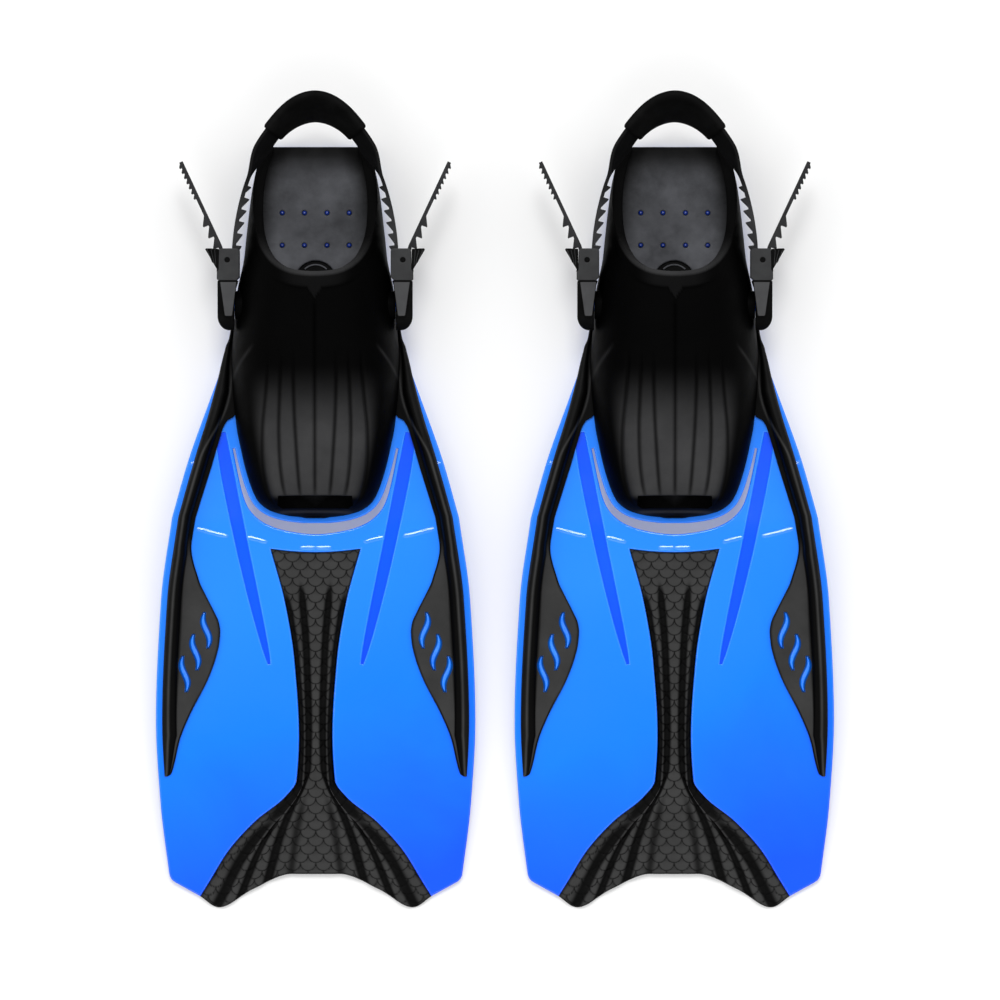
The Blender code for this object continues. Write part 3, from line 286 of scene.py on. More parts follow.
def plate(bm: BM, outline: Sequence[Point], low: float, high: float, rim: float,
          holes: Sequence[Sequence[Point]] = (), under: float = 0.0, steps: int = 3) -> Faces:
    """Adds a flat body with holes through it and rounded rims.

    Args:
        bm: Mesh to add to.
        outline: Plan of the body.
        low: Height of its underside.
        high: Height of its top.
        rim: Radius round the top.
        holes: Plans of the holes.
        under: Radius round the underside.
        steps: Rings in each rim.
    Returns:
        The faces of its top.
    """
    edges = [edge for points in (outline, *holes) for edge in ring_of(bm, points, low + under)]
    filled = bmesh.ops.triangle_fill(bm, use_beauty=True, edges=edges, normal=(0.0, 0.0, 1.0))["geom"]
    base = [item for item in filled if isinstance(item, bmesh.types.BMFace)]
    grown = bmesh.ops.extrude_face_region(bm, geom=base)["geom"]
    top = [item for item in grown if isinstance(item, bmesh.types.BMFace)]
    lifted = [item for item in grown if isinstance(item, bmesh.types.BMVert)]
    bmesh.ops.translate(bm, verts=lifted, vec=(0.0, 0.0, high - rim - low - under))
    walls = {face for vert in lifted for face in vert.link_faces}
    bmesh.ops.recalc_face_normals(bm, faces=list(walls | set(base)))
    if rim > 0.0:
        round_off(bm, top, high - rim, rim, steps)
    if under > 0.0:
        round_off(bm, base, low + under, -under, steps)
    return top


def dome(bm: BM, centre: Vector, radius: float, height: float) -> None:
    """Adds a round-topped stud that stands on a point."""
    made = bmesh.ops.create_uvsphere(bm, u_segments=24, v_segments=14, radius=radius)["verts"]
    bmesh.ops.scale(bm, vec=(1.0, 1.0, height / radius), verts=made)
    bmesh.ops.translate(bm, vec=centre, verts=made)


def washer(bm: BM, inner: float, outer: float, low: float, high: float, centre: Vector, sides: int = 48) -> None:
    """Adds a ring with a rounded outer rim about an axis along X, by spinning its section.

    Args:
        bm: Mesh to add to.
        inner: Radius of its bore.
        outer: Radius outside.
        low: Place of one face along X from the centre.
        high: Place of the other face.
        centre: Centre of the ring.
        sides: Steps of the spin.
    """
    ease = 0.18 * (outer - inner)
    tip = math.copysign(ease, high - low)
    section = ((low, inner), (low, outer), (high - tip, outer), (high - 0.3 * tip, outer - 0.3 * ease),
               (high, outer - ease), (high, inner))
    verts = [bm.verts.new(centre + Vector((along, 0.0, radius))) for along, radius in section]
    bmesh.ops.spin(bm, geom=verts + loop_of(bm, verts), cent=centre, axis=(1.0, 0.0, 0.0), angle=math.tau,
                   steps=sides, use_merge=True)


def skirted(bm: BM, level: float) -> None:
    """Closes an open sheet with a skirt down to a level and a floor across it."""
    grown = bmesh.ops.extrude_edge_only(bm, edges=borders(bm))["geom"]
    for vert in (item for item in grown if isinstance(item, bmesh.types.BMVert)):
        vert.co.z = level
    bmesh.ops.triangulate(bm, faces=bmesh.ops.edgeloop_fill(bm, edges=borders(bm))["faces"])
    bmesh.ops.recalc_face_normals(bm, faces=bm.faces)


def mesh_of(bm: BM) -> Mesh:
    """Turns a finished bmesh into a mesh."""
    mesh = bpy.data.meshes.new("piece")
    bm.to_mesh(mesh)
    bm.free()
    return mesh


def bmesh_of(*meshes: Mesh) -> BM:
    """One bmesh of a mesh or several."""
    bm = bmesh.new()
    for mesh in meshes:
        bm.from_mesh(mesh)
    return bm


def points_of(mesh: Mesh) -> Array:
    """Points of a mesh, one a row."""
    places = np.empty(len(mesh.vertices) * 3)
    mesh.vertices.foreach_get("co", places)
    return places.reshape(-1, 3)


def placed(name: str, data: bpy.types.ID) -> bpy.types.Object:
    """Puts an object with some data into the scene."""
    item = bpy.data.objects.new(name, data)
    bpy.context.scene.collection.objects.link(item)
    return item


def evaluated(mesh: Mesh, dress: Callable[[bpy.types.Object], None]) -> Mesh:
    """Applies modifiers to a mesh.

    Args:
        mesh: Mesh to change.
        dress: Adds the modifiers to an object of that mesh.
    Returns:
        The mesh with its modifiers applied.
    """
    item = placed("worked", mesh)
    dress(item)
    graph = bpy.context.evaluated_depsgraph_get()
    result = bpy.data.meshes.new_from_object(item.evaluated_get(graph))
    bpy.data.objects.remove(item)
    return result


def cut(mesh: Mesh, tool: Mesh) -> Mesh:
    """Mesh with a tool's shape taken out of it."""
    cutter = placed("cutter", tool)

    def dress(item: bpy.types.Object) -> None:
        """Adds the cut."""
        boolean = item.modifiers.new("cut", "BOOLEAN")
        boolean.operation, boolean.solver, boolean.object = "DIFFERENCE", "EXACT", cutter

    result = evaluated(mesh, dress)
    bpy.data.objects.remove(cutter)
    return result


def walled(mesh: Mesh, thickness: float) -> Mesh:
    """Sheet made a wall, inwards from its outside."""

    def dress(item: bpy.types.Object) -> None:
        """Adds the wall."""
        solid = item.modifiers.new("wall", "SOLIDIFY")
        solid.thickness, solid.offset, solid.use_even_offset = thickness, -1.0, True

    return evaluated(mesh, dress)


def mirrored(mesh: Mesh) -> Mesh:
    """Copy of a mesh for the other side."""
    bm = bmesh_of(mesh)
    bmesh.ops.scale(bm, vec=(-1.0, 1.0, 1.0), verts=bm.verts)
    bmesh.ops.reverse_faces(bm, faces=bm.faces)
    return mesh_of(bm)


# Plan of a fin

@dataclass(frozen=True)
class FinPlan:
    """Sizes and outlines that a fin's pieces share."""

    fit: float = 0.3 * MM
    seam: float = 0.03 * MM
    blade_width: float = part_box("left_fin_blade")[1].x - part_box("left_fin_blade")[0].x
    blade_length: float = 249.2 * MM
    foot_length: float = 237.0 * MM
    pocket_width: float = 110.0 * MM
    pocket_height: float = 70.0 * MM
    thick: float = 3.2 * MM
    droop: float = math.radians(9.5)
    droop_run: float = 21.0 * MM
    shoulder: float = 107.0 * MM
    strip: float = 4.0 * MM
    strip_start: float = 0.6
    insert_top: float = -19.69 * MM
    insert_end: float = -242.1 * MM
    insert_sag: float = 2.2 * MM
    pocket_plan: Curve = Curve(((0.0, 0.16), (0.005, 0.34), (0.02, 0.545), (0.046, 0.673), (0.10, 0.773),
                                (0.18, 0.862), (0.26, 0.925), (0.42, 0.975), (0.51, 0.945), (0.60, 0.912),
                                (0.695, 0.83), (0.75, 0.805), (0.883, 0.735), (1.0, 0.62)))
    pocket_side: Curve = Curve(((0.0, 0.10), (0.02, 0.31), (0.046, 0.43), (0.10, 0.53), (0.18, 0.60),
                                (0.316, 0.73), (0.426, 0.83), (0.65, 1.0), (1.0, 1.0)))
    shoulder_edge: Curve = Curve(((0.0, 0.774), (0.34, 0.551), (0.70, 0.255), (1.0, 0.0)))
    blade_edge: Curve = Curve(((0.0, 0.774), (0.21, 0.928), (0.52, 1.0), (0.727, 0.941), (0.928, 0.81)))
    insert_edge: Curve = Curve(((0.079, 0.28), (0.213, 0.192), (0.367, 0.132), (0.558, 0.104), (0.674, 0.12),
                                (0.718, 0.196), (0.778, 0.377), (0.855, 0.547), (0.932, 0.663), (0.9715, 0.723)))
    tip_edge: Curve = Curve(((0.0, 0.914), (0.151, 0.914), (0.39, 0.952), (0.61, 1.0), (0.723, 0.9715)))

    @property
    def seat(self) -> float:
        """Height at which pieces sit on the sole plate."""
        return self.thick + self.fit

    def pocket_half(self, y: Number) -> Array:
        """Half width of the foot pocket at its base."""
        return 0.5 * self.pocket_width * self.pocket_plan.at(np.asarray(y) / self.foot_length)

    def pocket_rise(self, y: Number) -> Array:
        """Height of the foot pocket above the sole plate."""
        return self.pocket_height * self.pocket_side.at(np.asarray(y) / self.foot_length)

    def edge_half(self, y: Number) -> Array:
        """Half width of the blade, which starts at the pocket's side and flares."""
        y = np.asarray(y, dtype=float)
        narrow = self.pocket_half(self.shoulder) + self.strip_start * self.strip
        beside, ahead = self.shoulder_edge.at(y / self.shoulder), self.blade_edge.at(-y / self.blade_length)
        return narrow + (0.5 * self.blade_width - narrow) * np.where(y >= 0.0, beside, ahead)

    def insert_half(self, y: Number) -> Array:
        """Half width of the tail insert."""
        return 0.5 * self.blade_width * self.insert_edge.at(-np.asarray(y) / self.blade_length)

    def insert_start(self, share: Number) -> Array:
        """Place of the tail insert's curved foot end, by the share of its half width."""
        return self.insert_top - self.insert_sag * (1.0 - np.asarray(share) ** 2)

    def drooped(self, places: Array) -> Array:
        """Places of flat points after the blade is bent down in front of the toe.

        Args:
            places: Points of a flat piece, one a row.
        Returns:
            The bent points.
        """
        x, y, z = places.T
        radius = self.droop_run / self.droop
        turn = np.clip(-y / radius, 0.0, self.droop)
        beyond = np.minimum(y, 0.0) + radius * turn
        height = radius + z
        bent_y = np.maximum(y, 0.0) - height * np.sin(turn) + beyond * np.cos(turn)
        return np.stack((x, bent_y, height * np.cos(turn) + beyond * np.sin(turn) - radius), axis=1)


PLAN = FinPlan()


def sliced(bm: BM, axis: int, places: Sequence[float]) -> None:
    """Cuts the faces of a mesh at places along X or Y, so that it can be bent or shaded there."""
    way = [1.0 if axis == index else 0.0 for index in range(3)]
    for place in places:
        geom = list(bm.verts) + list(bm.edges) + list(bm.faces)
        bmesh.ops.bisect_plane(bm, geom=geom, dist=0.001 * MM, plane_co=place * Vector(way), plane_no=way)


def drooped(bm: BM, cuts: int = 15, painted_shading: Callable[[Array], Array] | None = None) -> Mesh:
    """Cuts a flat piece across the bend in front of the toe and bends it.

    Args:
        bm: The flat piece, which is used up.
        cuts: Cuts across the bend, or 0 where the piece is dense already.
        painted_shading: Gives the painted light and shade of each flat point, for finishes that read it.
    Returns:
        The bent mesh.
    """
    sliced(bm, 1, [-PLAN.droop_run * index / (cuts - 1) for index in range(cuts)])
    flat = np.array([vert.co for vert in bm.verts])
    for vert, place in zip(bm.verts, PLAN.drooped(flat)):
        vert.co = place
    mesh = mesh_of(bm)
    return set_relief(mesh, painted_shading(flat)) if painted_shading else mesh


def set_relief(mesh: Mesh, values: Array) -> Mesh:
    """Stores painted light and shade for each point, which the finish multiplies into the colour: painted shade in
    creases and painted highlights on crests.
    """
    layer = mesh.attributes.new("relief", "FLOAT", "POINT")
    layer.data.foreach_set("value", np.asarray(values, dtype=np.float32))
    return mesh


# Finishes

def linked(tree: bpy.types.NodeTree, kind: str, **values: object) -> bpy.types.Node:
    """Adds a shader node and sets its sockets and settings.

    Args:
        tree: Node tree of a material.
        kind: Type of node.
        values: Sockets by name with _ for a space, or settings; a socket as a value makes a link.
    Returns:
        The node.
    """
    node = tree.nodes.new(kind)
    for name, value in values.items():
        socket = node.inputs.get(name.replace("_", " "))
        if socket is None and name.startswith("in"):
            socket = node.inputs[int(name[2:])]
        if socket is None:
            setattr(node, name, value)
        elif isinstance(value, bpy.types.NodeSocket):
            tree.links.new(value, socket)
        else:
            socket.default_value = value
    return node


@dataclass(frozen=True)
class Finish:
    """Moulded rubber, plastic or metal: two tones in soft blotches, with grain and uneven gloss."""

    name: str
    tone: Triple
    other_tone: Triple
    blotch: float = 60.0
    stops: tuple[float, ...] = (0.32, 0.68)
    gloss: Span = (0.45, 0.6)
    wear: float = 2.3
    grain: float = 2600.0
    grain_depth: float = 0.03 * MM
    shine: float = 0.5
    coat: float = 0.0
    coat_gloss: float = 0.08
    metal: float = 0.0
    # Whether the colour is multiplied by the painted light and shade stored on the piece.
    relief: bool = False

    def tones(self, tree: bpy.types.NodeTree, place: bpy.types.NodeSocket) -> bpy.types.NodeSocket:
        """Colour over the surface.

        Args:
            tree: Node tree of the material.
            place: Object coordinates.
        Returns:
            The colour socket.
        """
        blotches = linked(tree, "ShaderNodeTexNoise", Vector=place, Scale=self.blotch, Detail=4.0, Roughness=0.6)
        ramp = linked(tree, "ShaderNodeValToRGB", Fac=blotches.outputs["Fac"])
        for stop, where, tone in zip(ramp.color_ramp.elements, self.stops, (self.tone, self.other_tone)):
            stop.position, stop.color = where, (*tone, 1.0)
        if not self.relief:
            return ramp.outputs["Color"]
        # Painted light and shade: the colour is multiplied by the value stored on the piece for each point.
        depth = linked(tree, "ShaderNodeAttribute", attribute_name="relief")
        mix = linked(tree, "ShaderNodeMix", data_type="RGBA", blend_type="MULTIPLY", in0=1.0,
                     in6=ramp.outputs["Color"], in7=depth.outputs["Fac"])
        return mix.outputs[2]

    def make(self) -> bpy.types.Material:
        """Makes the material.

        Returns:
            The material.
        """
        material = bpy.data.materials.new(self.name)
        material.use_nodes = True
        tree = material.node_tree
        shader = tree.nodes["Principled BSDF"]
        place = linked(tree, "ShaderNodeTexCoord").outputs["Object"]
        tree.links.new(self.tones(tree, place), shader.inputs["Base Color"])
        wear = linked(tree, "ShaderNodeTexNoise", Vector=place, Scale=self.wear * self.blotch, Detail=3.0)
        rough = linked(tree, "ShaderNodeMapRange", Value=wear.outputs["Fac"], From_Min=0.3, From_Max=0.7,
                       To_Min=self.gloss[0], To_Max=self.gloss[1])
        tree.links.new(rough.outputs["Result"], shader.inputs["Roughness"])
        grain = linked(tree, "ShaderNodeTexNoise", Vector=place, Scale=self.grain, Detail=2.0)
        bump = linked(tree, "ShaderNodeBump", Height=grain.outputs["Fac"], Strength=1.0, Distance=self.grain_depth)
        tree.links.new(bump.outputs["Normal"], shader.inputs["Normal"])
        shader.inputs["Specular IOR Level"].default_value = self.shine
        shader.inputs["Metallic"].default_value = self.metal
        shader.inputs["Coat Weight"].default_value = self.coat
        shader.inputs["Coat Roughness"].default_value = self.coat_gloss
        return material


@dataclass(frozen=True)
class BladeFinish(Finish):
    """Glossy moulded plastic with painted light, deeper across the blade and lighter by the foot, read from the plan
    map of a fin.
    """

    deep_tone: Triple = (0.0, 0.08, 1.0)
    stops: tuple[float, ...] = (0.05, 0.45, 0.9)
    start: float = 0.68
    by_side: float = 0.23
    by_length: float = -2.0
    by_flow: float = 0.35

    def tones(self, tree: bpy.types.NodeTree, place: bpy.types.NodeSocket) -> bpy.types.NodeSocket:
        """Colour over the surface: painted light that makes it lighter by the foot and a little on the left, with
        faint flow marks.

        Args:
            tree: Node tree of the material.
            place: Object coordinates.
        Returns:
            The colour socket.
        """
        plan = linked(tree, "ShaderNodeUVMap", uv_map="plan").outputs["UV"]
        across = linked(tree, "ShaderNodeSeparateXYZ", Vector=plan)
        flow = linked(tree, "ShaderNodeTexNoise", Vector=place, Scale=self.blotch, Detail=5.0, Distortion=0.8)
        mixed: float | bpy.types.NodeSocket = self.start
        for source, pull in ((across.outputs["X"], self.by_side), (across.outputs["Y"], self.by_length),
                             (flow.outputs["Fac"], self.by_flow)):
            mixed = linked(tree, "ShaderNodeMath", operation="MULTIPLY_ADD", in0=source, in1=pull,
                           in2=mixed).outputs["Value"]
        ramp = linked(tree, "ShaderNodeValToRGB", Fac=mixed)
        elements = ramp.color_ramp.elements
        elements.new(0.5)
        for stop, where, tone in zip(elements, self.stops, (self.other_tone, self.tone, self.deep_tone)):
            stop.position, stop.color = where, (*tone, 1.0)
        return ramp.outputs["Color"]


BLUE = BladeFinish("blade_blue", (0.0, 0.178, 1.0), (0.010, 0.215, 1.0), blotch=9.0, gloss=(0.10, 0.16),
                   grain=900.0, grain_depth=0.004 * MM, shine=0.5, coat=0.25)
# Painted shade: the channel floors take a deeper blue for the groove's shade and darker reflection.
CHANNEL_SHADED_BLUE = BladeFinish("channel_blue", (0.0, 0.055, 0.92), (0.0, 0.085, 0.97), blotch=9.0, gloss=(0.12, 0.2),
                        grain=900.0, grain_depth=0.004 * MM, shine=0.4, deep_tone=(0.0, 0.045, 0.9))
RIB_BLUE = Finish("rib_blue", (0.006, 0.17, 1.0), (0.012, 0.22, 1.0), blotch=80.0, gloss=(0.10, 0.16), grain=900.0,
                  grain_depth=0.004 * MM, coat=0.25, relief=True)
NUB_SHADED_BLUE = Finish("nub_blue", (0.0, 0.015, 0.17), (0.0, 0.025, 0.24), blotch=200.0, gloss=(0.30, 0.38), grain=900.0,
                  grain_depth=0.004 * MM, shine=1.0)
POST_BLUE = Finish("post_blue", (0.0, 0.10, 0.85), (0.0, 0.14, 1.0), blotch=120.0, gloss=(0.15, 0.25),
                   grain=2000.0, grain_depth=0.005 * MM)
SCALED = Finish("scaled_rubber", (0.029, 0.029, 0.029), (0.038, 0.038, 0.038), blotch=45.0, gloss=(0.5, 0.65),
                grain=2200.0, shine=0.06, relief=True)
LEAF = Finish("rail_rubber", (0.028, 0.028, 0.028), (0.038, 0.038, 0.038), blotch=40.0, gloss=(0.45, 0.58),
              grain=2400.0, shine=0.04, relief=True)
POCKET = Finish("pocket_rubber", (0.030, 0.030, 0.031), (0.040, 0.040, 0.041), blotch=35.0, gloss=(0.50, 0.62),
                grain=2600.0, shine=0.02, relief=True)
FOOTBED = Finish("footbed_rubber", (0.034, 0.035, 0.039), (0.074, 0.076, 0.084), blotch=42.0, gloss=(0.36, 0.55),
                 grain=1800.0, grain_depth=0.05 * MM, shine=0.06, relief=True)
STRAP = Finish("strap_rubber", (0.016, 0.016, 0.017), (0.026, 0.026, 0.027), blotch=80.0, gloss=(0.4, 0.55),
               grain=2800.0, shine=0.06, relief=True)
PAD = Finish("pad_rubber", (0.002, 0.002, 0.002), (0.005, 0.005, 0.005), blotch=60.0, gloss=(0.55, 0.7),
             grain=1500.0, grain_depth=0.06 * MM, shine=0.03)
# Painted light: grey copies of the buckles' black plastic, for the arm's top panel, the lever's ribs, the frame and
# the lever pins, whose flat faces catch the light.
BUCKLE_LIT_GREY = Finish("buckle_grey", (0.028, 0.028, 0.030), (0.037, 0.038, 0.040), blotch=90.0, gloss=(0.32, 0.45),
                grain=3200.0, grain_depth=0.02 * MM, shine=0.3)
BLACK = Finish("buckle_black", (0.002, 0.002, 0.002), (0.004, 0.004, 0.004), blotch=90.0, gloss=(0.3, 0.42),
               grain=3200.0, grain_depth=0.02 * MM, shine=0.02)
FRAME_LIT_GREY = Finish("frame_grey", (0.014, 0.014, 0.015), (0.020, 0.021, 0.022), blotch=90.0, gloss=(0.32, 0.45),
               grain=3200.0, grain_depth=0.02 * MM, shine=0.25)
STEEL = Finish("spring_steel", (0.10, 0.10, 0.105), (0.14, 0.14, 0.145), blotch=300.0, gloss=(0.22, 0.32),
               grain=6000.0, grain_depth=0.005 * MM, metal=1.0)


@dataclass
class Paints:
    """Materials that have been made, one for each finish."""

    made: dict[str, bpy.types.Material] = field(default_factory=dict)

    def of(self, finish: Finish) -> bpy.types.Material:
        """Material of a finish."""
        if finish.name not in self.made:
            self.made[finish.name] = finish.make()
        return self.made[finish.name]


PAINTS = Paints()


# Places in the frame

def named(rows: Sequence[dict], name: str) -> dict:
    """Row of the record with a name."""
    return next(row for row in rows if row["name"] == name)


def axes_at(place: Sequence[float], up: Sequence[float]) -> Matrix:
    """Frame with X along the world's, Z along up, at a place."""
    lift = Vector(up).normalized()
    along = lift.cross(Vector((1.0, 0.0, 0.0)))
    turn = Matrix(((1.0, along.x, lift.x), (0.0, along.y, lift.y), (0.0, along.z, lift.z))).to_4x4()
    return Matrix.Translation(place) @ turn


@dataclass(frozen=True)
class Fin:
    """One fin's place and bodies."""

    side: Side
    mark: float = 150.0 * MM

    @property
    def plan(self) -> Matrix:
        """From the fin's plan to the world, by its sole face, which is marked on the plan's midline."""
        sole = named(frame["record"]["mounts"], f"{self.side.value}_sole_face")
        here = axes_at(sole["pos_m"], -Vector(sole["axis"]))
        return here @ Matrix.Translation((0.0, -self.mark, 0.0))

    @property
    def strap(self) -> Matrix:
        """From the strap's frame to the world, by its hinge and its levers' axes."""
        hinge = named(frame["joints"], f"{self.side.value}_strap_swing")
        lever = named(frame["joints"], f"{self.side.value}_lever_left_release")
        return axes_at(hinge["pos_m"], lever["axis"])

    def add(self, name: str, mesh: Mesh, carrier: Carrier, slot: str, finishes: Sequence[Finish],
            lever: Side | None = None) -> bpy.types.Object:
        """Adds a piece that stands for the node of its name.

        Args:
            name: Node's name without the fin's.
            mesh: Mesh in the carrier's frame, shared by both fins.
            carrier: Body that it rides on.
            slot: Material slot of the record; not used.
            finishes: Finishes of its material slots.
            lever: Side of the lever's body.
        Returns:
            The piece.
        """
        data = mesh.copy()
        data.transform(self.plan if carrier is Carrier.FIN else self.strap)
        data.shade_smooth()
        data.set_sharp_from_angle(angle=math.radians(38.0))
        for finish in finishes:
            data.materials.append(PAINTS.of(finish))
        item = placed(f"{self.side.value}_{name}", data)
        body = f"{self.side.value}_{carrier.value}" + (f"_{lever.value}" if lever else "")
        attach(item, body)
        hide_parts(f"{self.side.value}_fin_{name}")
        LOG.info("%s rides on %s with %d faces", item.name, body, len(data.polygons))
        return item


FINS = (Fin(Side.LEFT), Fin(Side.RIGHT))


def add_both(name: str, mesh: Mesh, carrier: Carrier, slot: str, *finishes: Finish,
             lever: Side | None = None) -> list[bpy.types.Object]:
    """Adds a piece to both fins, as Fin.add does to one."""
    return [fin.add(name, mesh, carrier, slot, finishes, lever) for fin in FINS]


def add_sides(name: str, mesh: Mesh, carrier: Carrier, slot: str, *finishes: Finish) -> None:
    """Adds a piece drawn at +X, and its mirror image, to both fins."""
    for side, data in ((Side.RIGHT, mesh), (Side.LEFT, mirrored(mesh))):
        lever = side if carrier is Carrier.LEVER else None
        add_both(f"{name}_{side.value}", data, carrier, slot, *finishes, lever=lever)


def map_plan(mesh: Mesh) -> Mesh:
    """Adds a map of a fin's plan, from 0 to 1 over the blade's width and the fin's length."""
    length = PLAN.blade_length + PLAN.foot_length
    places = points_of(mesh)[:, :2] / (PLAN.blade_width, length) + (0.5, PLAN.blade_length / length)
    corners = np.empty(len(mesh.loops), dtype=np.int32)
    mesh.loops.foreach_get("vertex_index", corners)
    layer = mesh.uv_layers.new(name="plan")
    layer.data.foreach_set("uv", places[corners].astype(np.float32).ravel())
    return mesh


# Blade, tail insert and side rails

@dataclass(frozen=True)
class Blade:
    """Blade and sole plate in one, with its water slot, channels, footbed studs and window ribs."""

    rim: float = 0.9 * MM
    under_rim: float = 0.5 * MM
    sole_inset: float = 1.0 * MM
    sole_corner: float = 9.0 * MM
    tip_round: float = 4.0 * MM
    vent_top: float = 45.0 * MM
    vent_rim: float = 3.5 * MM
    vent_width: Span = (1.4 * MM, 7.0 * MM)
    vent_pace: float = 1.6
    channel_width: float = 7.8 * MM
    channel_depth: float = 1.2 * MM
    channel_floor: float = 0.1 * MM
    channel_rise: float = 9.0 * MM
    channel_middle: Point = (0.25, -0.02)
    channel_point: Point = (0.142, -0.385)
    stud_radius: float = 1.55 * MM
    stud_columns: tuple[float, ...] = (-21.4 * MM, -7.2 * MM, 7.2 * MM, 21.4 * MM)
    stud_rows: tuple[float, ...] = (42.6 * MM, 63.4 * MM)
    footbed: float = 3.0 * MM
    stud_proud: float = 0.9 * MM
    stud_root: float = 1.2 * MM
    bead_sides: int = 14
    bead_root: float = 0.3 * MM
    bead_end: float = 0.3
    bead_light: float = 0.35
    bead_slope: Span = (0.2, 0.95)
    leaf: float = 1.6 * MM
    rib_seat: float = 0.4
    rib_proud: float = 0.3 * MM
    fold_half: float = 1.6 * MM
    fold_high: float = 0.33 * MM
    low_fold: tuple[Point, ...] = ((0.0, -19.0 * MM), (0.12, -18.9 * MM), (0.30, -15.5 * MM), (0.44, -12.4 * MM),
                                   (0.54, -11.8 * MM), (0.75, -6.9 * MM), (0.87, -3.5 * MM))
    low_spans: tuple[Span, ...] = ((0.0, 0.10), (0.30, 0.43), (0.545, 0.745), (0.838, 0.866))
    high_fold: tuple[Point, ...] = ((0.75, 34.0 * MM), (0.79, 35.0 * MM))
    high_spans: tuple[Span, ...] = ((0.757, 0.785),)

    def outline(self) -> list[Point]:
        """Plan of the plate, with the tail insert's slot open at the tip."""
        rows = np.linspace(PLAN.insert_top, PLAN.insert_end, 90)
        slot = offset_line(np.stack((PLAN.insert_half(rows), rows), axis=1), PLAN.seam)
        corner = -PLAN.blade_edge.knots[-1][0] * PLAN.blade_length
        half = [(share * slot[0][0], float(PLAN.insert_start(share)) + PLAN.seam)
                for share in np.linspace(0.0, 0.9, 9)]
        half += slot.tolist()
        tip, side = np.array(half[-1]), np.array((float(PLAN.edge_half(corner)), corner))
        after = np.array((float(PLAN.edge_half(corner + self.tip_round)), corner + self.tip_round))
        for t in np.linspace(0.0, 1.0, 7):
            start = tip + (side - tip) * (1.0 - self.tip_round / np.linalg.norm(side - tip))
            half.append(tuple(bowed(start, side, after, t)))
        half += [(float(PLAN.edge_half(y)), y) for y in np.linspace(after[1], PLAN.shoulder, 110)[1:]]
        end = PLAN.foot_length - self.sole_inset
        rows = np.linspace(PLAN.shoulder, end - self.sole_corner, 50)[1:]
        half += [(float(PLAN.pocket_half(y)) - self.sole_inset, y) for y in rows]
        wide = half[-1][0]
        for turn in np.linspace(0.0, 0.5 * math.pi, 8)[1:]:
            half.append((wide - self.sole_corner * (1.0 - math.cos(turn)),
                         end - self.sole_corner * (1.0 - math.sin(turn))))
        half.append((0.0, end))
        return both_sides(half)

    def toe_line(self) -> Array:
        """Foot pocket's edge at +X, from the top of the water slot round to the middle of the toe."""
        rows = self.vent_top * np.linspace(1.0, 0.0, 44) ** self.vent_pace
        toe = np.stack((PLAN.pocket_half(rows), rows), axis=1)
        flat = np.linspace(toe[-1][0], 0.0, 12)[1:]
        return np.concatenate((toe, np.stack((flat, np.zeros_like(flat)), axis=1)))

    def vent(self) -> list[Point]:
        """Water slot that runs round the toe and widens towards its middle."""
        toe = self.toe_line()
        share = np.linspace(0.0, 1.0, len(toe))
        width = self.vent_width[0] + (self.vent_width[1] - self.vent_width[0]) * eased(0.0, 1.0, share)
        inner, outer = offset_line(toe, self.vent_rim), offset_line(toe, self.vent_rim + width)
        for line in (inner, outer):
            for axis in (0, 1):
                for _ in range(4):
                    line[1:-1, axis] = 0.25 * line[:-2, axis] + 0.5 * line[1:-1, axis] + 0.25 * line[2:, axis]
            line[-1][0] = 0.0
        outline = outer.tolist() + [[-x, y] for x, y in outer[-2::-1]]
        return outline + [[-x, y] for x, y in inner] + inner[-2::-1].tolist()

    def channel(self, side: Side) -> list[Point]:
        """Tapered groove from the end of the water slot to a point on the blade."""
        rim = float(PLAN.pocket_half(self.vent_top)) + self.vent_rim + self.vent_width[0]
        start = np.array((rim + self.channel_width, self.vent_top + self.channel_rise))
        middle, point = np.array((self.channel_middle, self.channel_point)) * (PLAN.blade_width, PLAN.blade_length)
        left, right = [], []
        for t in np.linspace(0.0, 0.985, 30):
            place = bowed(start, middle, point, t)
            along = 2 * (middle - start) * (1 - t) + 2 * (point - middle) * t
            across = np.array((-along[1], along[0])) / np.linalg.norm(along)
            width = self.channel_width * min(1.0, 0.8 + t) * (1.0 - t ** 4) ** 0.6
            left.append(tuple(place - 0.5 * width * across))
            right.append(tuple(place + 0.5 * width * across))
        return flipped(left + right[::-1], side)

    def bead(self, line: Array, half: Number, base: float, high: float, side: Side) -> Mesh:
        """Rounded ridge along a plan line at +X, for one side, with painted shade at its foot.

        Args:
            line: Points of the line.
            half: Half width, one for all points or one each.
            base: Height of its foot.
            high: Height above its foot.
            side: Side of the fin.
        Returns:
            The bent ridge.
        """
        steps = np.linspace(0.0, 1.0, len(line))
        halves = np.broadcast_to(half, steps.shape)

        def shape(u: Array, v: Array) -> Array:
            """Rounded section along the line, drawn in at both ends."""
            spots, along = read_line(line, steps, v), read_line(np.gradient(line, axis=0), steps, v)
            along /= np.linalg.norm(along, axis=1)[:, None]
            full = np.sqrt(np.clip(1.0 - (2.0 * v - 1.0) ** 6, 0.0, 1.0))
            out = (2.0 * u - 1.0) * np.interp(v, steps, halves) * at_least(self.bead_end, full)
            rise = high * full * np.cos(0.5 * np.pi * (2.0 * u - 1.0)) ** 2
            x, y = spots[:, 0] - out * along[:, 1], spots[:, 1] + out * along[:, 0]
            return np.stack((side.sign * x, y, base + rise), axis=1)

        bm = sheet(self.bead_sides, 4 * len(line), shape)
        skirted(bm, PLAN.thick - self.bead_root)
        foot, crest = (base + share * high for share in self.bead_slope)
        return drooped(bm, painted_shading=lambda flat: at_least(self.bead_light, eased(foot, crest, flat[:, 2])))

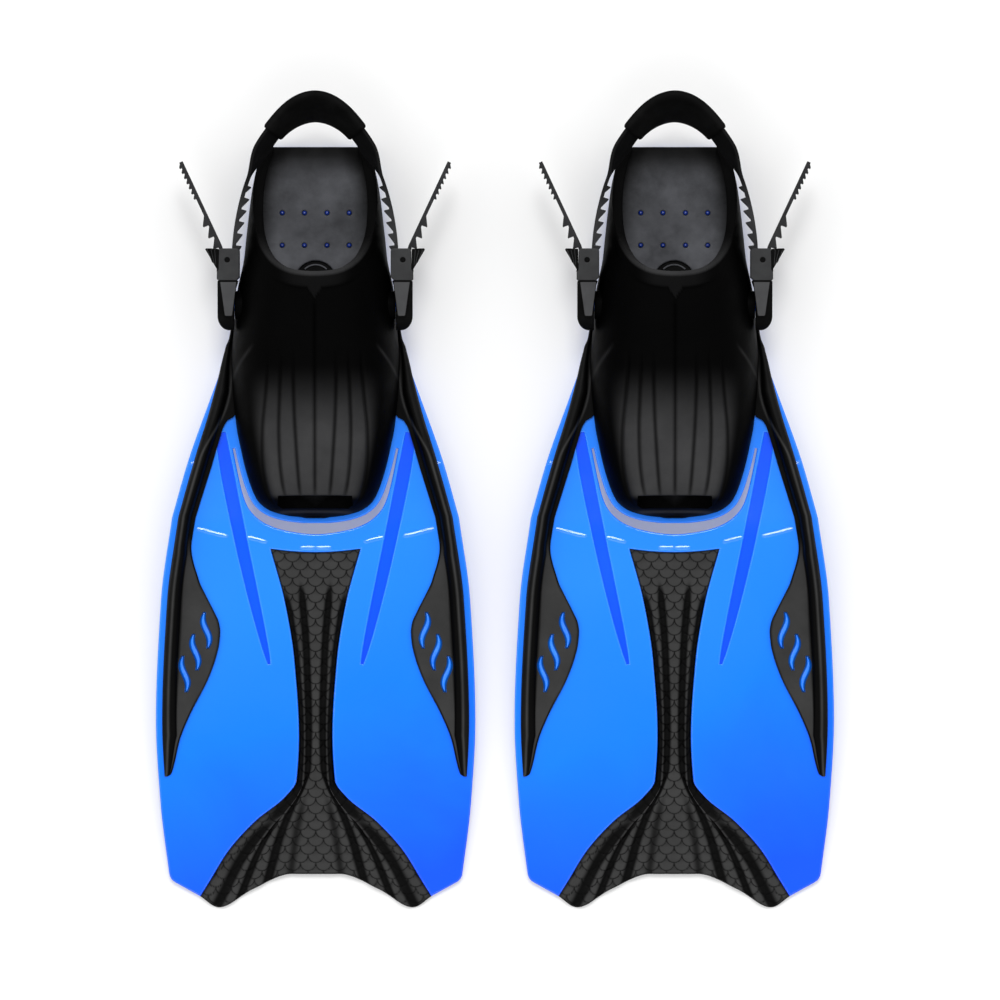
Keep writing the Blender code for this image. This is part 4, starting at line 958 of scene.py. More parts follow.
    def folds(self) -> list[Array]:
        """Lines of the two folds across the blade at +X, each broken by the channel and the rail."""
        wide = 0.5 * PLAN.blade_width
        lines = []
        for knots, spans in ((self.low_fold, self.low_spans), (self.high_fold, self.high_spans)):
            for start, end in spans:
                across = np.linspace(start, end, 12)
                lines.append(np.stack((across * wide, Curve(knots).at(across)), axis=1))
        return lines

    def build(self) -> None:
        """Builds the plate with what stands on it, and adds it to both fins."""
        bm = bmesh.new()
        channels = [self.channel(side) for side in Side]
        plate(bm, self.outline(), 0.0, PLAN.thick, self.rim, [self.vent(), *channels], self.under_rim)
        self.fill_channels(bm)
        mesh = drooped(bm)
        bm = bmesh.new()
        for x in self.stud_columns:
            for row in self.stud_rows:
                centre = Vector((x, PLAN.foot_length - row, PLAN.seat + self.footbed - self.stud_root))
                dome(bm, centre, self.stud_radius, self.stud_root + self.stud_proud)
        # The studs are the blade's own plastic, painted a much darker blue as painted shade.
        paint(bm.faces, Slot.STUD)
        studs = mesh_of(bm)
        beads = [self.bead(line, self.fold_half, PLAN.thick - PLAN.seam, self.fold_high, side)
                 for line in self.folds() for side in Side]
        for line, half in (Rail().window_line(index) for index in range(3)):
            for side in Side:
                beads.append(self.bead(line, half + PLAN.fit, PLAN.seat + self.rib_seat * self.leaf,
                                       (1.0 - self.rib_seat) * self.leaf + self.rib_proud, side))
                # The window ribs take a finish that shows the bead's painted shade at its foot.
                paint(beads[-1].polygons, Slot.RIB)
        whole = map_plan(mesh_of(bmesh_of(mesh, studs, *beads)))
        add_both("blade", whole, Carrier.FIN, "blade_plastic", BLUE, CHANNEL_SHADED_BLUE, NUB_SHADED_BLUE, RIB_BLUE)

    def fill_channels(self, bm: BM) -> None:
        """Closes each channel, which is cut right through, with a floor between its rounded rims, painted a deeper
        blue as painted shade.
        """
        for side in Side:
            floor = plate(bm, self.channel(side), self.channel_floor, PLAN.thick - self.channel_depth, 0.0)
            paint(floor, Slot.SECOND)


@dataclass(frozen=True)
class TailInsert:
    """Fluted rubber insert with overlapping scales, which fills the blade's slot to the tips."""

    columns: int = 215
    rows: int = 430
    proud: float = 0.9 * MM
    edge: float = 1.6 * MM
    flute_depth: float = 1.3 * MM
    flute_width: float = 2.4 * MM
    flute_spread: float = 0.5
    flute_slope: Span = (0.10, 0.65)
    flute_shade: float = 0.985
    tail: Span = (0.70, 0.82)
    scale_size: Span = (9.8 * MM, 5.2 * MM)
    scale_round: float = 0.53
    scale_start: float = 2.0 * MM
    scale_depth: float = 0.55 * MM
    scale_level: float = 0.6
    scale_tilt: float = 0.62
    scale_rim: float = 0.78
    crease: Span = (0.10, 0.72)
    crease_light: float = 0.08
    edge_shade: float = 0.6
    end_run: float = 200.0 * MM
    foot_rim: float = 0.3 * MM
    root: float = 0.2 * MM
    root_light: float = 0.4

    def scales(self, x: Array, y: Array) -> Array:
        """Height of the overlapping scales, from 0 in the creases to 1.

        Args:
            x: Places across.
            y: Places along.
        Returns:
            The height at each place.
        """
        wide, step = self.scale_size
        radius = self.scale_round * wide
        back = PLAN.insert_top + self.scale_start - y
        first = np.ceil((back - radius) / step)
        height, found = np.zeros_like(x), np.zeros(x.shape, dtype=bool)
        for ahead in range(4):
            row = first + ahead
            shift = 0.5 * wide * np.mod(row, 2.0)
            dx = np.mod(x - shift + 0.5 * wide, wide) - 0.5 * wide
            dy = back - row * step
            away = np.hypot(dx, dy) / radius
            inside = (away < 1.0) & ~found
            dish = at_least(self.scale_tilt, np.clip(dy / radius, -0.4, 1.0)) * eased(1.0, self.scale_rim, away)
            height = np.where(inside, dish, height)
            found |= inside
        return height

    def flutes(self, s: Array, v: Array, half: Array) -> Array:
        """Depth of the long flutes, from 0 to 1, which fan out in the tail.

        Args:
            s: Share of the half width, from -1 to 1.
            v: Share of the length, from 0 at the foot end.
            half: Half width of each place's row.
        Returns:
            The depth at each place.
        """
        tail = eased(*self.tail, v)
        deep = np.zeros_like(s)
        for place, strength in ((0.42, eased(0.06, 0.16, v)), (0.90, eased(0.08, 0.18, v) * (1.0 - tail)),
                                (0.22, 0.5 * tail), (0.66, tail), (0.86, 0.9 * tail)):
            wide = self.flute_width * (1.0 + self.flute_spread * tail)
            deep = np.maximum(deep, strength * bell((np.abs(s) - place) * half, wide))
        return deep

    def places(self, u: Array, v: Array) -> tuple[Array, Array]:
        """Places on the top, and the painted shade on each: darker in the creases between scales, in the flutes and at
        the edges.

        Args:
            u: Share across.
            v: Share along.
        Returns:
            The places, and the painted light from 0 to 1, low where painted shade falls.
        """
        s = 2.0 * u - 1.0
        row = PLAN.insert_top + v * (PLAN.insert_end - PLAN.insert_top)
        half = PLAN.insert_half(row)
        end = -PLAN.blade_length * PLAN.tip_edge.at(np.abs(s) * PLAN.insert_edge.knots[-1][1])
        start = PLAN.insert_start(s)
        x, y = s * half, start + v * (end - start)
        scale, flute = self.scales(x, y), self.flutes(s, v, half)
        rim = np.minimum.reduce((half * (1.0 - np.abs(s)), v * self.end_run + self.foot_rim, (1.0 - v) * self.end_run))
        fall = faded(0.0, self.edge, rim)
        z = PLAN.thick + self.proud + self.scale_depth * (scale - self.scale_level)
        z -= self.flute_depth * flute + self.edge * fall ** 2
        # Painted shade: darker in the creases between scales, at the edges and in the flutes.
        light = at_least(self.crease_light, eased(*self.crease, scale)) * (1.0 - self.edge_shade * fall)
        return np.stack((x, y, z), axis=1), light * (1.0 - self.flute_shade * eased(*self.flute_slope, flute))

    def build(self) -> None:
        """Builds the insert and adds it to both fins."""
        lights: list[Array] = []

        def shape(u: Array, v: Array) -> Array:
            """Keeps the painted shade beside the places."""
            spots, light = self.places(u, v)
            lights.append(light)
            return spots

        bm = sheet(self.columns, self.rows, shape)
        count = len(bm.verts)
        skirted(bm, self.root)
        # Painted shade on the skirt underneath the insert.
        below = np.full(len(bm.verts) - count, self.root_light)
        mesh = set_relief(drooped(bm, cuts=0), np.concatenate((lights[0][:count], below)))
        add_both("tail_insert", mesh, Carrier.FIN, "black_rubber", SCALED)


@dataclass(frozen=True)
class Rail:
    """Rubber side rail: a rounded ridge along the blade's edge and a leaf with three S windows."""

    sides: int = 64
    stations: int = 190
    pace: float = 1.25
    tip: float = 165.0 * MM
    top: float = 123.0 * MM
    ridge_width: float = 9.0 * MM
    ridge_share: float = 0.75
    ridge_powers: Span = (0.8, 0.75)
    leaf: float = 1.6 * MM
    window_length: float = 23.0 * MM
    window_width: float = 4.4 * MM
    window_start: float = 59.9 * MM
    window_step: float = 14.0 * MM
    window_inset: float = 28.4 * MM
    window_shift: float = 6.1 * MM
    window_lean: float = 1.9 * MM
    window_sway: float = 1.5 * MM
    window_end: float = 0.35
    widths: Curve = Curve(((-1.0, 1.8 * MM), (-0.993, 3.9 * MM), (-0.978, 5.2 * MM), (-0.944, 7.1 * MM),
                           (-0.855, 11.2 * MM), (-0.766, 17.3 * MM), (-0.61, 29.6 * MM), (-0.53, 33.6 * MM),
                           (-0.483, 34.9 * MM), (-0.443, 35.1 * MM), (-0.404, 33.9 * MM), (-0.364, 30.6 * MM),
                           (-0.30, 24.6 * MM), (-0.244, 19.4 * MM), (-0.09, 10.9 * MM), (0.22, 12.2 * MM),
                           (0.34, 11.9 * MM), (0.372, 13.0 * MM), (0.392, 18.5 * MM), (0.402, 30.0 * MM),
                           (0.65, 30.0 * MM)))
    strips: Curve = Curve(((0.20, 1.0), (0.34, 0.8), (0.54, 0.05), (0.60, -0.3), (0.65, -0.5), (0.69, 0.1),
                           (0.745, 0.5)))
    heights: Curve = Curve(((-1.0, 1.5 * MM), (-0.73, 4.5 * MM), (-0.36, 8.0 * MM), (0.0, 10.0 * MM),
                            (0.36, 9.0 * MM), (0.65, 5.0 * MM), (0.745, 1.5 * MM)))
    ridge_turn: float = 0.5
    leaf_turn: float = 0.72
    lip_turn: float = 0.80
    base_light: float = 0.03
    slope_light: float = 0.15
    slope: Span = (0.48, 0.58)
    leaf_light: float = 0.92
    leaf_end: Span = (-0.17, -0.06)
    leaf_edge: Span = (0.6 * MM, 1.4 * MM)
    crest_light: float = 0.85
    crest_place: float = 0.42
    crest_half: float = 0.7 * MM
    crest_drift: Span = (0.22, 0.60)
    crest_end: Span = (0.52, 0.62)

    def window_line(self, index: int) -> tuple[Array, Array]:
        """Middle line of one of the three S windows at +X, and its half width at each point."""
        t = np.linspace(0.0, 1.0, 19)
        start = -self.window_start - index * self.window_step
        inset = self.window_inset - index * self.window_shift
        x = float(PLAN.edge_half(start)) - inset - self.window_lean * t + self.window_sway * np.sin(math.tau * t)
        half = 0.5 * self.window_width * at_least(self.window_end, np.sin(math.pi * t))
        return np.stack((x, start - t * self.window_length), axis=1), half

    def window(self, index: int, margin: float) -> list[Point]:
        """S-shaped window at +X.

        Args:
            index: Which of the three.
            margin: How much it is grown.
        Returns:
            Its outline.
        """
        line, half = self.window_line(index)
        y = line[:, 1] + margin * np.linspace(1.0, -1.0, len(line))
        left, right = (np.stack((line[:, 0] + way * (half + margin), y), axis=1) for way in (-1.0, 1.0))
        return left.tolist() + right[::-1].tolist()

    def spans(self, y: Array) -> tuple[Array, Array, Array]:
        """Outer edge, whole width and ridge width of the rail.

        Args:
            y: Places along.
        Returns:
            The three sizes at each place.
        """
        outer = PLAN.edge_half(y) - PLAN.strip * self.strips.at(y / self.tip)
        inner = np.maximum(outer - self.widths.at(y / self.tip), PLAN.pocket_half(y) - PLAN.fit)
        return outer, outer - inner, np.minimum(self.ridge_width, self.ridge_share * (outer - inner))

    def section(self, u: Array, y: Array) -> Array:
        """Places on the rail at +X.

        Args:
            u: Share round the section, from its outer foot over the ridge and leaf and back underneath.
            y: Places along.
        Returns:
            The places.
        """
        outer, wide, ridge = self.spans(y)
        high = self.heights.at(y / self.tip)
        leaf = np.minimum(self.leaf, 0.5 * high)
        turn = np.pi * np.clip(u / self.ridge_turn, 0.0, 1.0)
        swell = np.abs(np.sin(turn)) ** self.ridge_powers[1]
        across = 0.5 * ridge * (1.0 - signed_power(np.cos(turn), self.ridge_powers[0]))
        rise = np.where(turn < 0.5 * np.pi, high * swell, leaf + (high - leaf) * swell)
        flat = np.clip((u - self.ridge_turn) / (self.leaf_turn - self.ridge_turn), 0.0, 1.0)
        across = np.where(u > self.ridge_turn, ridge + (wide - ridge) * flat, across)
        lip = leaf * np.sqrt(np.clip(1.0 - eased(self.leaf_turn, self.lip_turn, u) ** 2, 0.0, 1.0))
        rise = np.where(u > self.ridge_turn, np.where(u > self.leaf_turn, lip, leaf), rise)
        across = np.where(u > self.lip_turn, wide * (1.0 - u) / (1.0 - self.lip_turn), across)
        rise = np.where(u > self.lip_turn, 0.0, rise)
        return np.stack((outer - across, y, PLAN.seat + rise), axis=1)

    def painted_shading(self, flat: Array) -> Array:
        """Painted light and shade: a painted highlight along the crest, painted shade on the ridge and its inner
        slope, a leaf painted lighter, and painted shade round its edge.

        Args:
            flat: Places on the flat rail at +X.
        Returns:
            The painted light and shade at each place.
        """
        x, y, _ = flat.T
        outer, wide, ridge = self.spans(y)
        across = outer - x
        place = y / self.tip
        line = self.crest_place * ridge
        line += (outer - PLAN.pocket_half(y) - line) * eased(*self.crest_drift, place)
        light = self.base_light + self.slope_light * faded(*self.slope, across / ridge)
        leaf = eased(1.0, 1.08, across / ridge) * faded(*self.leaf_end, place)
        light += self.leaf_light * leaf * eased(*self.leaf_edge, wide - across)
        return light + self.crest_light * bell(across - line, self.crest_half) * faded(*self.crest_end, place)

    def body(self) -> Mesh:
        """Ridge and leaf at +X, closed at both ends."""

        def shape(u: Array, v: Array) -> Array:
            """Rings along the rail."""
            return self.section(u, v ** self.pace * (self.top + self.tip) - self.tip)

        return mesh_of(capped(sheet(self.sides, self.stations, shape)))

    def build(self) -> None:
        """Builds the rails and adds them to both fins."""
        bm = bmesh.new()
        for index in range(3):
            plate(bm, self.window(index, PLAN.fit), 0.0, PLAN.seat + 5.0 * self.leaf, 0.0)
        bent = drooped(bmesh_of(cut(self.body(), mesh_of(bm))), painted_shading=self.painted_shading)
        add_sides("rail", bent, Carrier.FIN, "black_rubber", LEAF)


# Foot pocket and footbed

@dataclass(frozen=True)
class PocketLight:
    """Where painted light and painted shade fall on the pocket's rubber, and how strong they are."""

    dark: float = 0.016
    panel: float = 0.98
    panel_sides: Span = (0.60, 0.82)
    panel_start: Span = (9.0 * MM, 13.0 * MM)
    panel_end: Span = (44.0 * MM, 94.0 * MM)
    collar: float = 0.09
    collar_sides: Span = (10.0 * MM, 26.0 * MM)
    collar_gap: float = 0.5 * MM
    rim: Span = (0.04, 0.65)
    rim_width: Span = (1.8 * MM, 2.6 * MM)
    rim_start: Span = (118.0 * MM, 122.0 * MM)
    rim_end: Span = (150.0 * MM, 178.0 * MM)
    glint: float = 0.8
    glint_place: float = 2.4 * MM
    glint_half: float = 0.6 * MM
    glint_sides: Span = (20.0 * MM, 26.0 * MM)
    welt_highlight: float = 0.5
    welt_half: float = 0.9 * MM
    welt_start: Span = (84.0 * MM, 92.0 * MM)
    welt_end: Span = (100.0 * MM, 108.0 * MM)
    welt_line: Curve = Curve(((80.0 * MM, 56.8 * MM), (89.0 * MM, 51.7 * MM), (95.5 * MM, 47.9 * MM),
                              (106.0 * MM, 39.6 * MM)))
    groove_shade: float = 0.8
    seam_shade: float = 0.7
    seam_half: float = 0.6 * MM


@dataclass(frozen=True)
class FootPocket:
    """Rubber foot pocket: an arched shell with a raked mouth, grooves along its top and a toe drain."""

    columns: int = 280
    rows: int = 120
    pace: float = 1.35
    cap: float = 0.05
    cap_bulge: float = 0.8 * MM
    cap_middle: float = 0.4
    wall: float = 3.5 * MM
    arch: float = 2.4
    mouth_length: float = 86.5 * MM
    groove_half: float = 1.15 * MM
    groove_depth: float = 1.1 * MM
    groove_blend: Span = (0.05, 0.42)
    groove_start: float = 0.046
    groove_hold: float = 0.3
    groove_end: Span = (0.552, 0.562)
    collar: float = 0.9 * MM
    collar_length: float = 10.5 * MM
    collar_step: Span = (-0.4 * MM, 0.6 * MM)
    collar_sides: Span = (18.0 * MM, 32.0 * MM)
    notch: Span = (4.6 * MM, 7.2 * MM)
    drain: Triple = (48.0 * MM, 4.2 * MM, 11.8 * MM)
    drain_corner: Triple = (3.0 * MM, 2.0 * MM, 0.5 * MM)
    lip: Triple = (3.4 * MM, 7.2 * MM, 1.5 * MM)
    lip_grid: tuple[int, int] = (20, 150)
    lip_inset: float = 0.3 * MM
    lip_back: float = 0.6 * MM
    lip_least: float = 0.12
    post_setback: float = 103.8 * MM
    post_rise: float = 26.0 * MM
    post_radius: float = 4.3 * MM
    boss_radius: float = 9.0 * MM
    boss_start: float = 0.85
    mouth: Curve = Curve(((0.0, 1.0), (0.41, 0.55), (0.75, 0.27), (1.0, 0.14)))
    groove_fade: Curve = Curve(((0.02, 0.0), (0.08, 1.0), (0.34, 1.0), (0.44, 0.0)))
    toe_grooves: tuple[float, ...] = (0.77, 0.51, 0.25, 0.0)
    instep_grooves: tuple[float, ...] = (0.56, 0.41, 0.26, 0.0)
    light: PocketLight = PocketLight()

    @property
    def post_y(self) -> float:
        """Place of the strap posts along the fin."""
        return PLAN.foot_length - self.post_setback

    @property
    def boss_face(self) -> float:
        """Place of the bosses' faces across the fin."""
        return float(PLAN.pocket_half(self.post_y))

    def arched(self, y: Array, angle: Array, inset: Number = 0.0) -> Array:
        """Places on the arch, from 0 at the base at +X to pi at the base at -X.

        Args:
            y: Places along the fin.
            angle: Turns round the arch.
            inset: How far inside the outer face.
        Returns:
            The places.
        """
        power = 2.0 / self.arch
        lean, lift = np.cos(angle), np.abs(np.sin(angle))
        across = (PLAN.pocket_half(y) - inset) * signed_power(lean, power)
        return np.stack((across, y, PLAN.seat + (PLAN.pocket_rise(y) - inset) * lift ** power), axis=-1)

    def mouth_at(self, angle: Array) -> Array:
        """Where the mouth ends each line along the pocket."""
        front = PLAN.foot_length - self.mouth_length
        turns = np.linspace(0.0, 0.5 * math.pi, 160)
        rows = np.linspace(front, PLAN.foot_length, 500)
        high = self.arched(*np.meshgrid(rows, turns))[..., 2]
        limit = PLAN.seat + PLAN.pocket_height * self.mouth.at((rows - front) / self.mouth_length)
        over = high >= limit[None, :] - 1e-6
        ends = np.where(over.any(axis=1), rows[np.argmax(over, axis=1)], PLAN.foot_length)
        return np.interp(np.minimum(angle, math.pi - angle), turns, ends)

    def grooves(self, place: Array, y: Array) -> Array:
        """Depth of the grooves along the top, from 0 to 1.

        Args:
            place: Share of the pocket's half width, from -1 to 1.
            y: Places along the fin.
        Returns:
            The depth at each place.
        """
        share = y / PLAN.foot_length
        blend = eased(*self.groove_blend, share)
        half = PLAN.pocket_half(np.maximum(y, self.groove_start * PLAN.foot_length))
        deep = np.zeros_like(place)
        for toe, instep in zip(self.toe_grooves, self.instep_grooves):
            away = (np.abs(place) - (toe + blend * (instep - toe))) * half
            fade = self.groove_fade.at(np.minimum(share, self.groove_hold) if toe == 0.0 else share)
            deep = np.maximum(deep, fade * faded(*self.groove_end, share) * bell(away, self.groove_half))
        return deep

    def seam(self, x: Array, y: Array, end: Array) -> Array:
        """Distance of places past the collar's seam, which has a notch at the instep."""
        dip = self.notch[1] * np.clip(1.0 - np.abs(x) / self.notch[0], 0.0, 1.0)
        return y - (end - self.collar_length - dip)

    def outside(self, u: Array, v: Array) -> Array:
        """Places on the outer face.

        Args:
            u: Share round the arch.
            v: Share from the middle of the toe's front to the mouth.
        Returns:
            The places.
        """
        angle = math.pi * u
        end = self.mouth_at(angle)
        along = np.clip((v - self.cap) / (1.0 - self.cap), 0.0, 1.0)
        y = end * along ** self.pace
        plain = self.arched(y, angle)
        place = plain[:, 0] / PLAN.pocket_half(y)
        inset = self.groove_depth * self.grooves(place, y)
        proud = eased(*self.collar_step, self.seam(plain[:, 0], y, end))
        inset -= self.collar * proud * faded(*self.collar_sides, np.abs(plain[:, 0]))
        shaped = self.arched(y, angle, inset)
        front = np.clip(v / self.cap, 0.0, 1.0)
        middle = np.array((0.0, -self.cap_bulge, PLAN.seat + self.cap_middle * float(PLAN.pocket_rise(0.0))))
        shaped = middle + (shaped - middle) * np.sqrt(front)[:, None]
        shaped[:, 1] = np.where(front < 1.0, -self.cap_bulge * (1.0 - front ** 2), shaped[:, 1])
        return shaped

    def painted_shading(self, mesh: Mesh) -> Array:
        """Painted light and shade at each point: a painted pool of light on the toe panel and the middle of the
        collar, painted highlights along the mouth rim, the toe lip and a line on each side, and painted shade in the
        grooves and along the seam.
        """
        x, y, _ = points_of(mesh).T
        place = np.clip(x / PLAN.pocket_half(y), -1.0, 1.0)
        end = self.mouth_at(np.arccos(signed_power(place, 0.5 * self.arch)))
        seam, side, here = self.seam(x, y, end), np.abs(x), self.light
        panel = faded(*here.panel_sides, np.abs(place)) * eased(*here.panel_start, y) * faded(*here.panel_end, y)
        light = here.dark + np.where(seam > here.collar_gap, here.collar * faded(*here.collar_sides, side),
                                     here.panel * panel)
        rim = faded(*here.rim_width, end - y) * eased(*here.rim_start, y)
        light += rim * (here.rim[0] + here.rim[1] * faded(*here.rim_end, y))
        light += here.glint * bell(y - here.glint_place, here.glint_half) * faded(*here.glint_sides, side)
        welt_highlight = bell(side - here.welt_line.at(y), here.welt_half)
        light += here.welt_highlight * welt_highlight * eased(*here.welt_start, y) * faded(*here.welt_end, y)
        light *= 1.0 - here.groove_shade * self.grooves(place, y)
        return light * (1.0 - here.seam_shade * bell(seam, here.seam_half))

    def rolled(self, u: Array, v: Array) -> Array:
        """Places on the lip rolled inwards round the mouth, widest at the sides.

        Args:
            u: Share round its section.
            v: Share round the mouth.
        Returns:
            The places.
        """
        angle, turn = math.pi * v, math.tau * u
        side = 1.0 - np.sin(angle) ** 3
        reach = self.lip[0] + (self.lip[1] - self.lip[0]) * side
        inset = 0.5 * (reach + self.lip_inset) + 0.5 * (reach - self.lip_inset) * np.cos(turn)
        places = self.arched(self.mouth_at(angle) - self.lip_back, angle, inset)
        places[:, 2] += self.lip[2] * np.sin(turn) * np.maximum(side, self.lip_least)
        return places

    def build(self) -> None:
        """Builds the pocket and adds it to both fins."""
        shell = walled(mesh_of(sheet(self.columns, self.rows, self.outside)), self.wall)
        bm = bmesh.new()
        (wide, near, far), (turn, rise, draw) = self.drain, self.drain_corner
        slot = [(0.5 * wide - turn, near), (0.5 * wide, near + rise), (0.5 * wide - draw, far)]
        base = PLAN.seat + float(PLAN.pocket_rise(0.0)) + self.wall
        plate(bm, both_sides(slot), base, PLAN.pocket_height, 0.0)
        bore = bmesh.ops.create_cone(bm, cap_ends=True, segments=32, radius1=self.post_radius,
                                     radius2=self.post_radius, depth=4.0 * self.boss_face)["verts"]
        bmesh.ops.rotate(bm, cent=(0.0, 0.0, 0.0), matrix=Matrix.Rotation(0.5 * math.pi, 3, "Y"), verts=bore)
        centre = Vector((0.0, self.post_y, PLAN.seat + self.post_rise))
        bmesh.ops.translate(bm, vec=centre, verts=bore)
        shell = cut(shell, mesh_of(bm))
        bm = bmesh.new()
        for side in Side:
            washer(bm, self.post_radius, self.boss_radius, side.sign * self.boss_start * self.boss_face,
                   side.sign * self.boss_face, centre)
        bmesh.ops.recalc_face_normals(bm, faces=bm.faces)
        whole = mesh_of(bmesh_of(shell, mesh_of(bm), mesh_of(capped(sheet(*self.lip_grid, self.rolled)))))
        set_relief(whole, self.painted_shading(whole))
        add_both("foot_pocket", whole, Carrier.FIN, "black_rubber", POCKET)


@dataclass(frozen=True)
class Footbed:
    """Dark grey pad inside the pocket, with holes for the studs and a half-moon hollow at the instep."""

    thick: float = 3.0 * MM
    toe: float = 4.6 * MM
    rim: float = 0.8 * MM
    moon: float = 13.4 * MM
    moon_depth: float = 2.0 * MM
    lip_rise: float = 1.0 * MM
    lip_insets: Span = (3.0 * MM, 4.0 * MM)
    lip_depth: float = 0.6
    lip_rim: float = 0.3 * MM
    cell: Span = (6.0 * MM, 5.0 * MM)
    cells: tuple[int, int] = (6, 18)
    wall_light: float = 0.14
    wall: Span = (3.0 * MM, 16.0 * MM)
    heel_light: float = 0.03
    heel: Span = (3.0 * MM, 24.0 * MM)
    middle_light: float = 0.5
    middle: Span = (44.0 * MM, 74.0 * MM)
    toe_light: float = 0.02
    toe_shade: Span = (15.0 * MM, 40.0 * MM)

    def half(self, y: Number) -> Array:
        """Half width inside the pocket's wall."""
        pocket = FootPocket()
        lift = np.clip(self.thick / (PLAN.pocket_rise(y) - pocket.wall), 0.0, 1.0)
        return (PLAN.pocket_half(y) - pocket.wall) * (1.0 - lift ** pocket.arch) ** (1.0 / pocket.arch) - PLAN.fit

    def build(self) -> None:
        """Builds the pad and adds it to both fins."""
        rows = np.linspace(self.toe, PLAN.foot_length - PLAN.fit, 70)
        half = [(0.0, self.toe), *((float(self.half(y)), y) for y in rows), (0.0, rows[-1])]
        blade = Blade()
        holes = [circle((x, PLAN.foot_length - row), blade.stud_radius + PLAN.seam, 24)
                 for x in blade.stud_columns for row in blade.stud_rows]
        front = PLAN.foot_length - FootPocket().mouth_length
        moon = arc((0.0, front), self.moon, 0.0, 1.0, 30)
        bm = bmesh.new()
        top = PLAN.seat + self.thick
        plate(bm, both_sides(half), PLAN.seat, top, self.rim, [*holes, moon])
        # The half-moon hollow's floor is painted black as painted shade.
        paint(plate(bm, moon, PLAN.seat, top - self.moon_depth, 0.0), Slot.SECOND)
        centre, (outer, inner) = (0.0, front + self.lip_rise), (self.moon - inset for inset in self.lip_insets)
        lip = arc(centre, outer, 0.25, 0.75, 16) + arc(centre, inner, 0.75, 0.25, 16)
        plate(bm, lip, PLAN.seat, top - self.lip_depth * self.moon_depth, self.lip_rim, steps=2)
        sliced(bm, 0, self.cell[0] * np.arange(-self.cells[0], self.cells[0] + 1))
        sliced(bm, 1, front + self.cell[1] * np.arange(self.cells[1]))
        mesh = mesh_of(bm)
        x, y, _ = points_of(mesh).T
        # Painted light and shade: darker by the pocket's walls, at the heel end and at the toe, with a painted pool of
        # light over the middle.
        inside, heel = self.half(y) - np.abs(x), PLAN.foot_length - y
        light = at_least(self.wall_light, eased(*self.wall, inside))
        light *= at_least(self.heel_light, eased(*self.heel, heel))
        light *= 1.0 + self.middle_light * eased(*self.middle, heel)
        set_relief(mesh, light * at_least(self.toe_light, eased(*self.toe_shade, y)))
        add_both("footbed", mesh, Carrier.FIN, "footbed_rubber", FOOTBED, BLACK)


# Heel strap and buckles, in the strap's frame

@dataclass(frozen=True)
class StrapPlan:
    """Sizes that the strap and its buckles share."""

    play: float = 0.6 * MM
    thick: float = 2.2 * MM
    band: float = 20.0 * MM
    reach: float = 126.3 * MM
    power: float = 1.86
    lean: float = math.radians(25.5)
    lean_hold: float = 44.0 * MM
    lean_end: float = 66.0 * MM
    tail_length: float = 58.0 * MM
    tail_lean: float = math.radians(25.0)
    tail_rise: float = 4.5 * MM
    tail_bend: float = 12.0 * MM
    arm_length: float = 15.4 * MM
    arm_toe: float = 16.0 * MM
    arm_thick: float = 10.6 * MM
    arm_end: float = 10.0 * MM
    bar_place: Point = (4.4 * MM, 13.3 * MM)
    pivot_place: Point = (8.4 * MM, 4.8 * MM)
    cheek: float = 2.0 * MM
    frame_length: float = 20.3 * MM
    frame_width: float = 12.0 * MM
    frame_step: float = 2.3 * MM
    bar_radius: float = 2.5 * MM
    pin_radius: float = 1.2 * MM
    eye: float = 2.6 * MM
    tooth_high: float = 3.4 * MM
    pawl_rise: float = 17.0 * MM

    @property
    def arm_in(self) -> float:
        """Inner face of an arm."""
        return FootPocket().boss_face + PLAN.fit

    @property
    def bar(self) -> Point:
        """Axis of the bar that the band runs round, at +X."""
        return self.arm_in + self.bar_place[0], self.arm_length + self.bar_place[1]

    @property
    def pivot(self) -> Point:
        """Axis of a release lever's pin, at +X."""
        return self.arm_in + self.pivot_place[0], self.arm_length + self.pivot_place[1]

    @property
    def wrap(self) -> float:
        """Radius of the band's middle round the bar."""
        return self.bar_radius + PLAN.fit + 0.5 * self.thick

    @property
    def cheeks(self) -> Span:
        """Inner and outer face of a frame's cheek, from the band's middle."""
        return 0.5 * self.band + self.play, 0.5 * self.band + self.play + self.cheek

    @property
    def frame_ends(self) -> Span:
        """Lower and upper end of a frame."""
        low = self.arm_length + PLAN.fit
        return low, low + self.frame_length


KIT = StrapPlan()


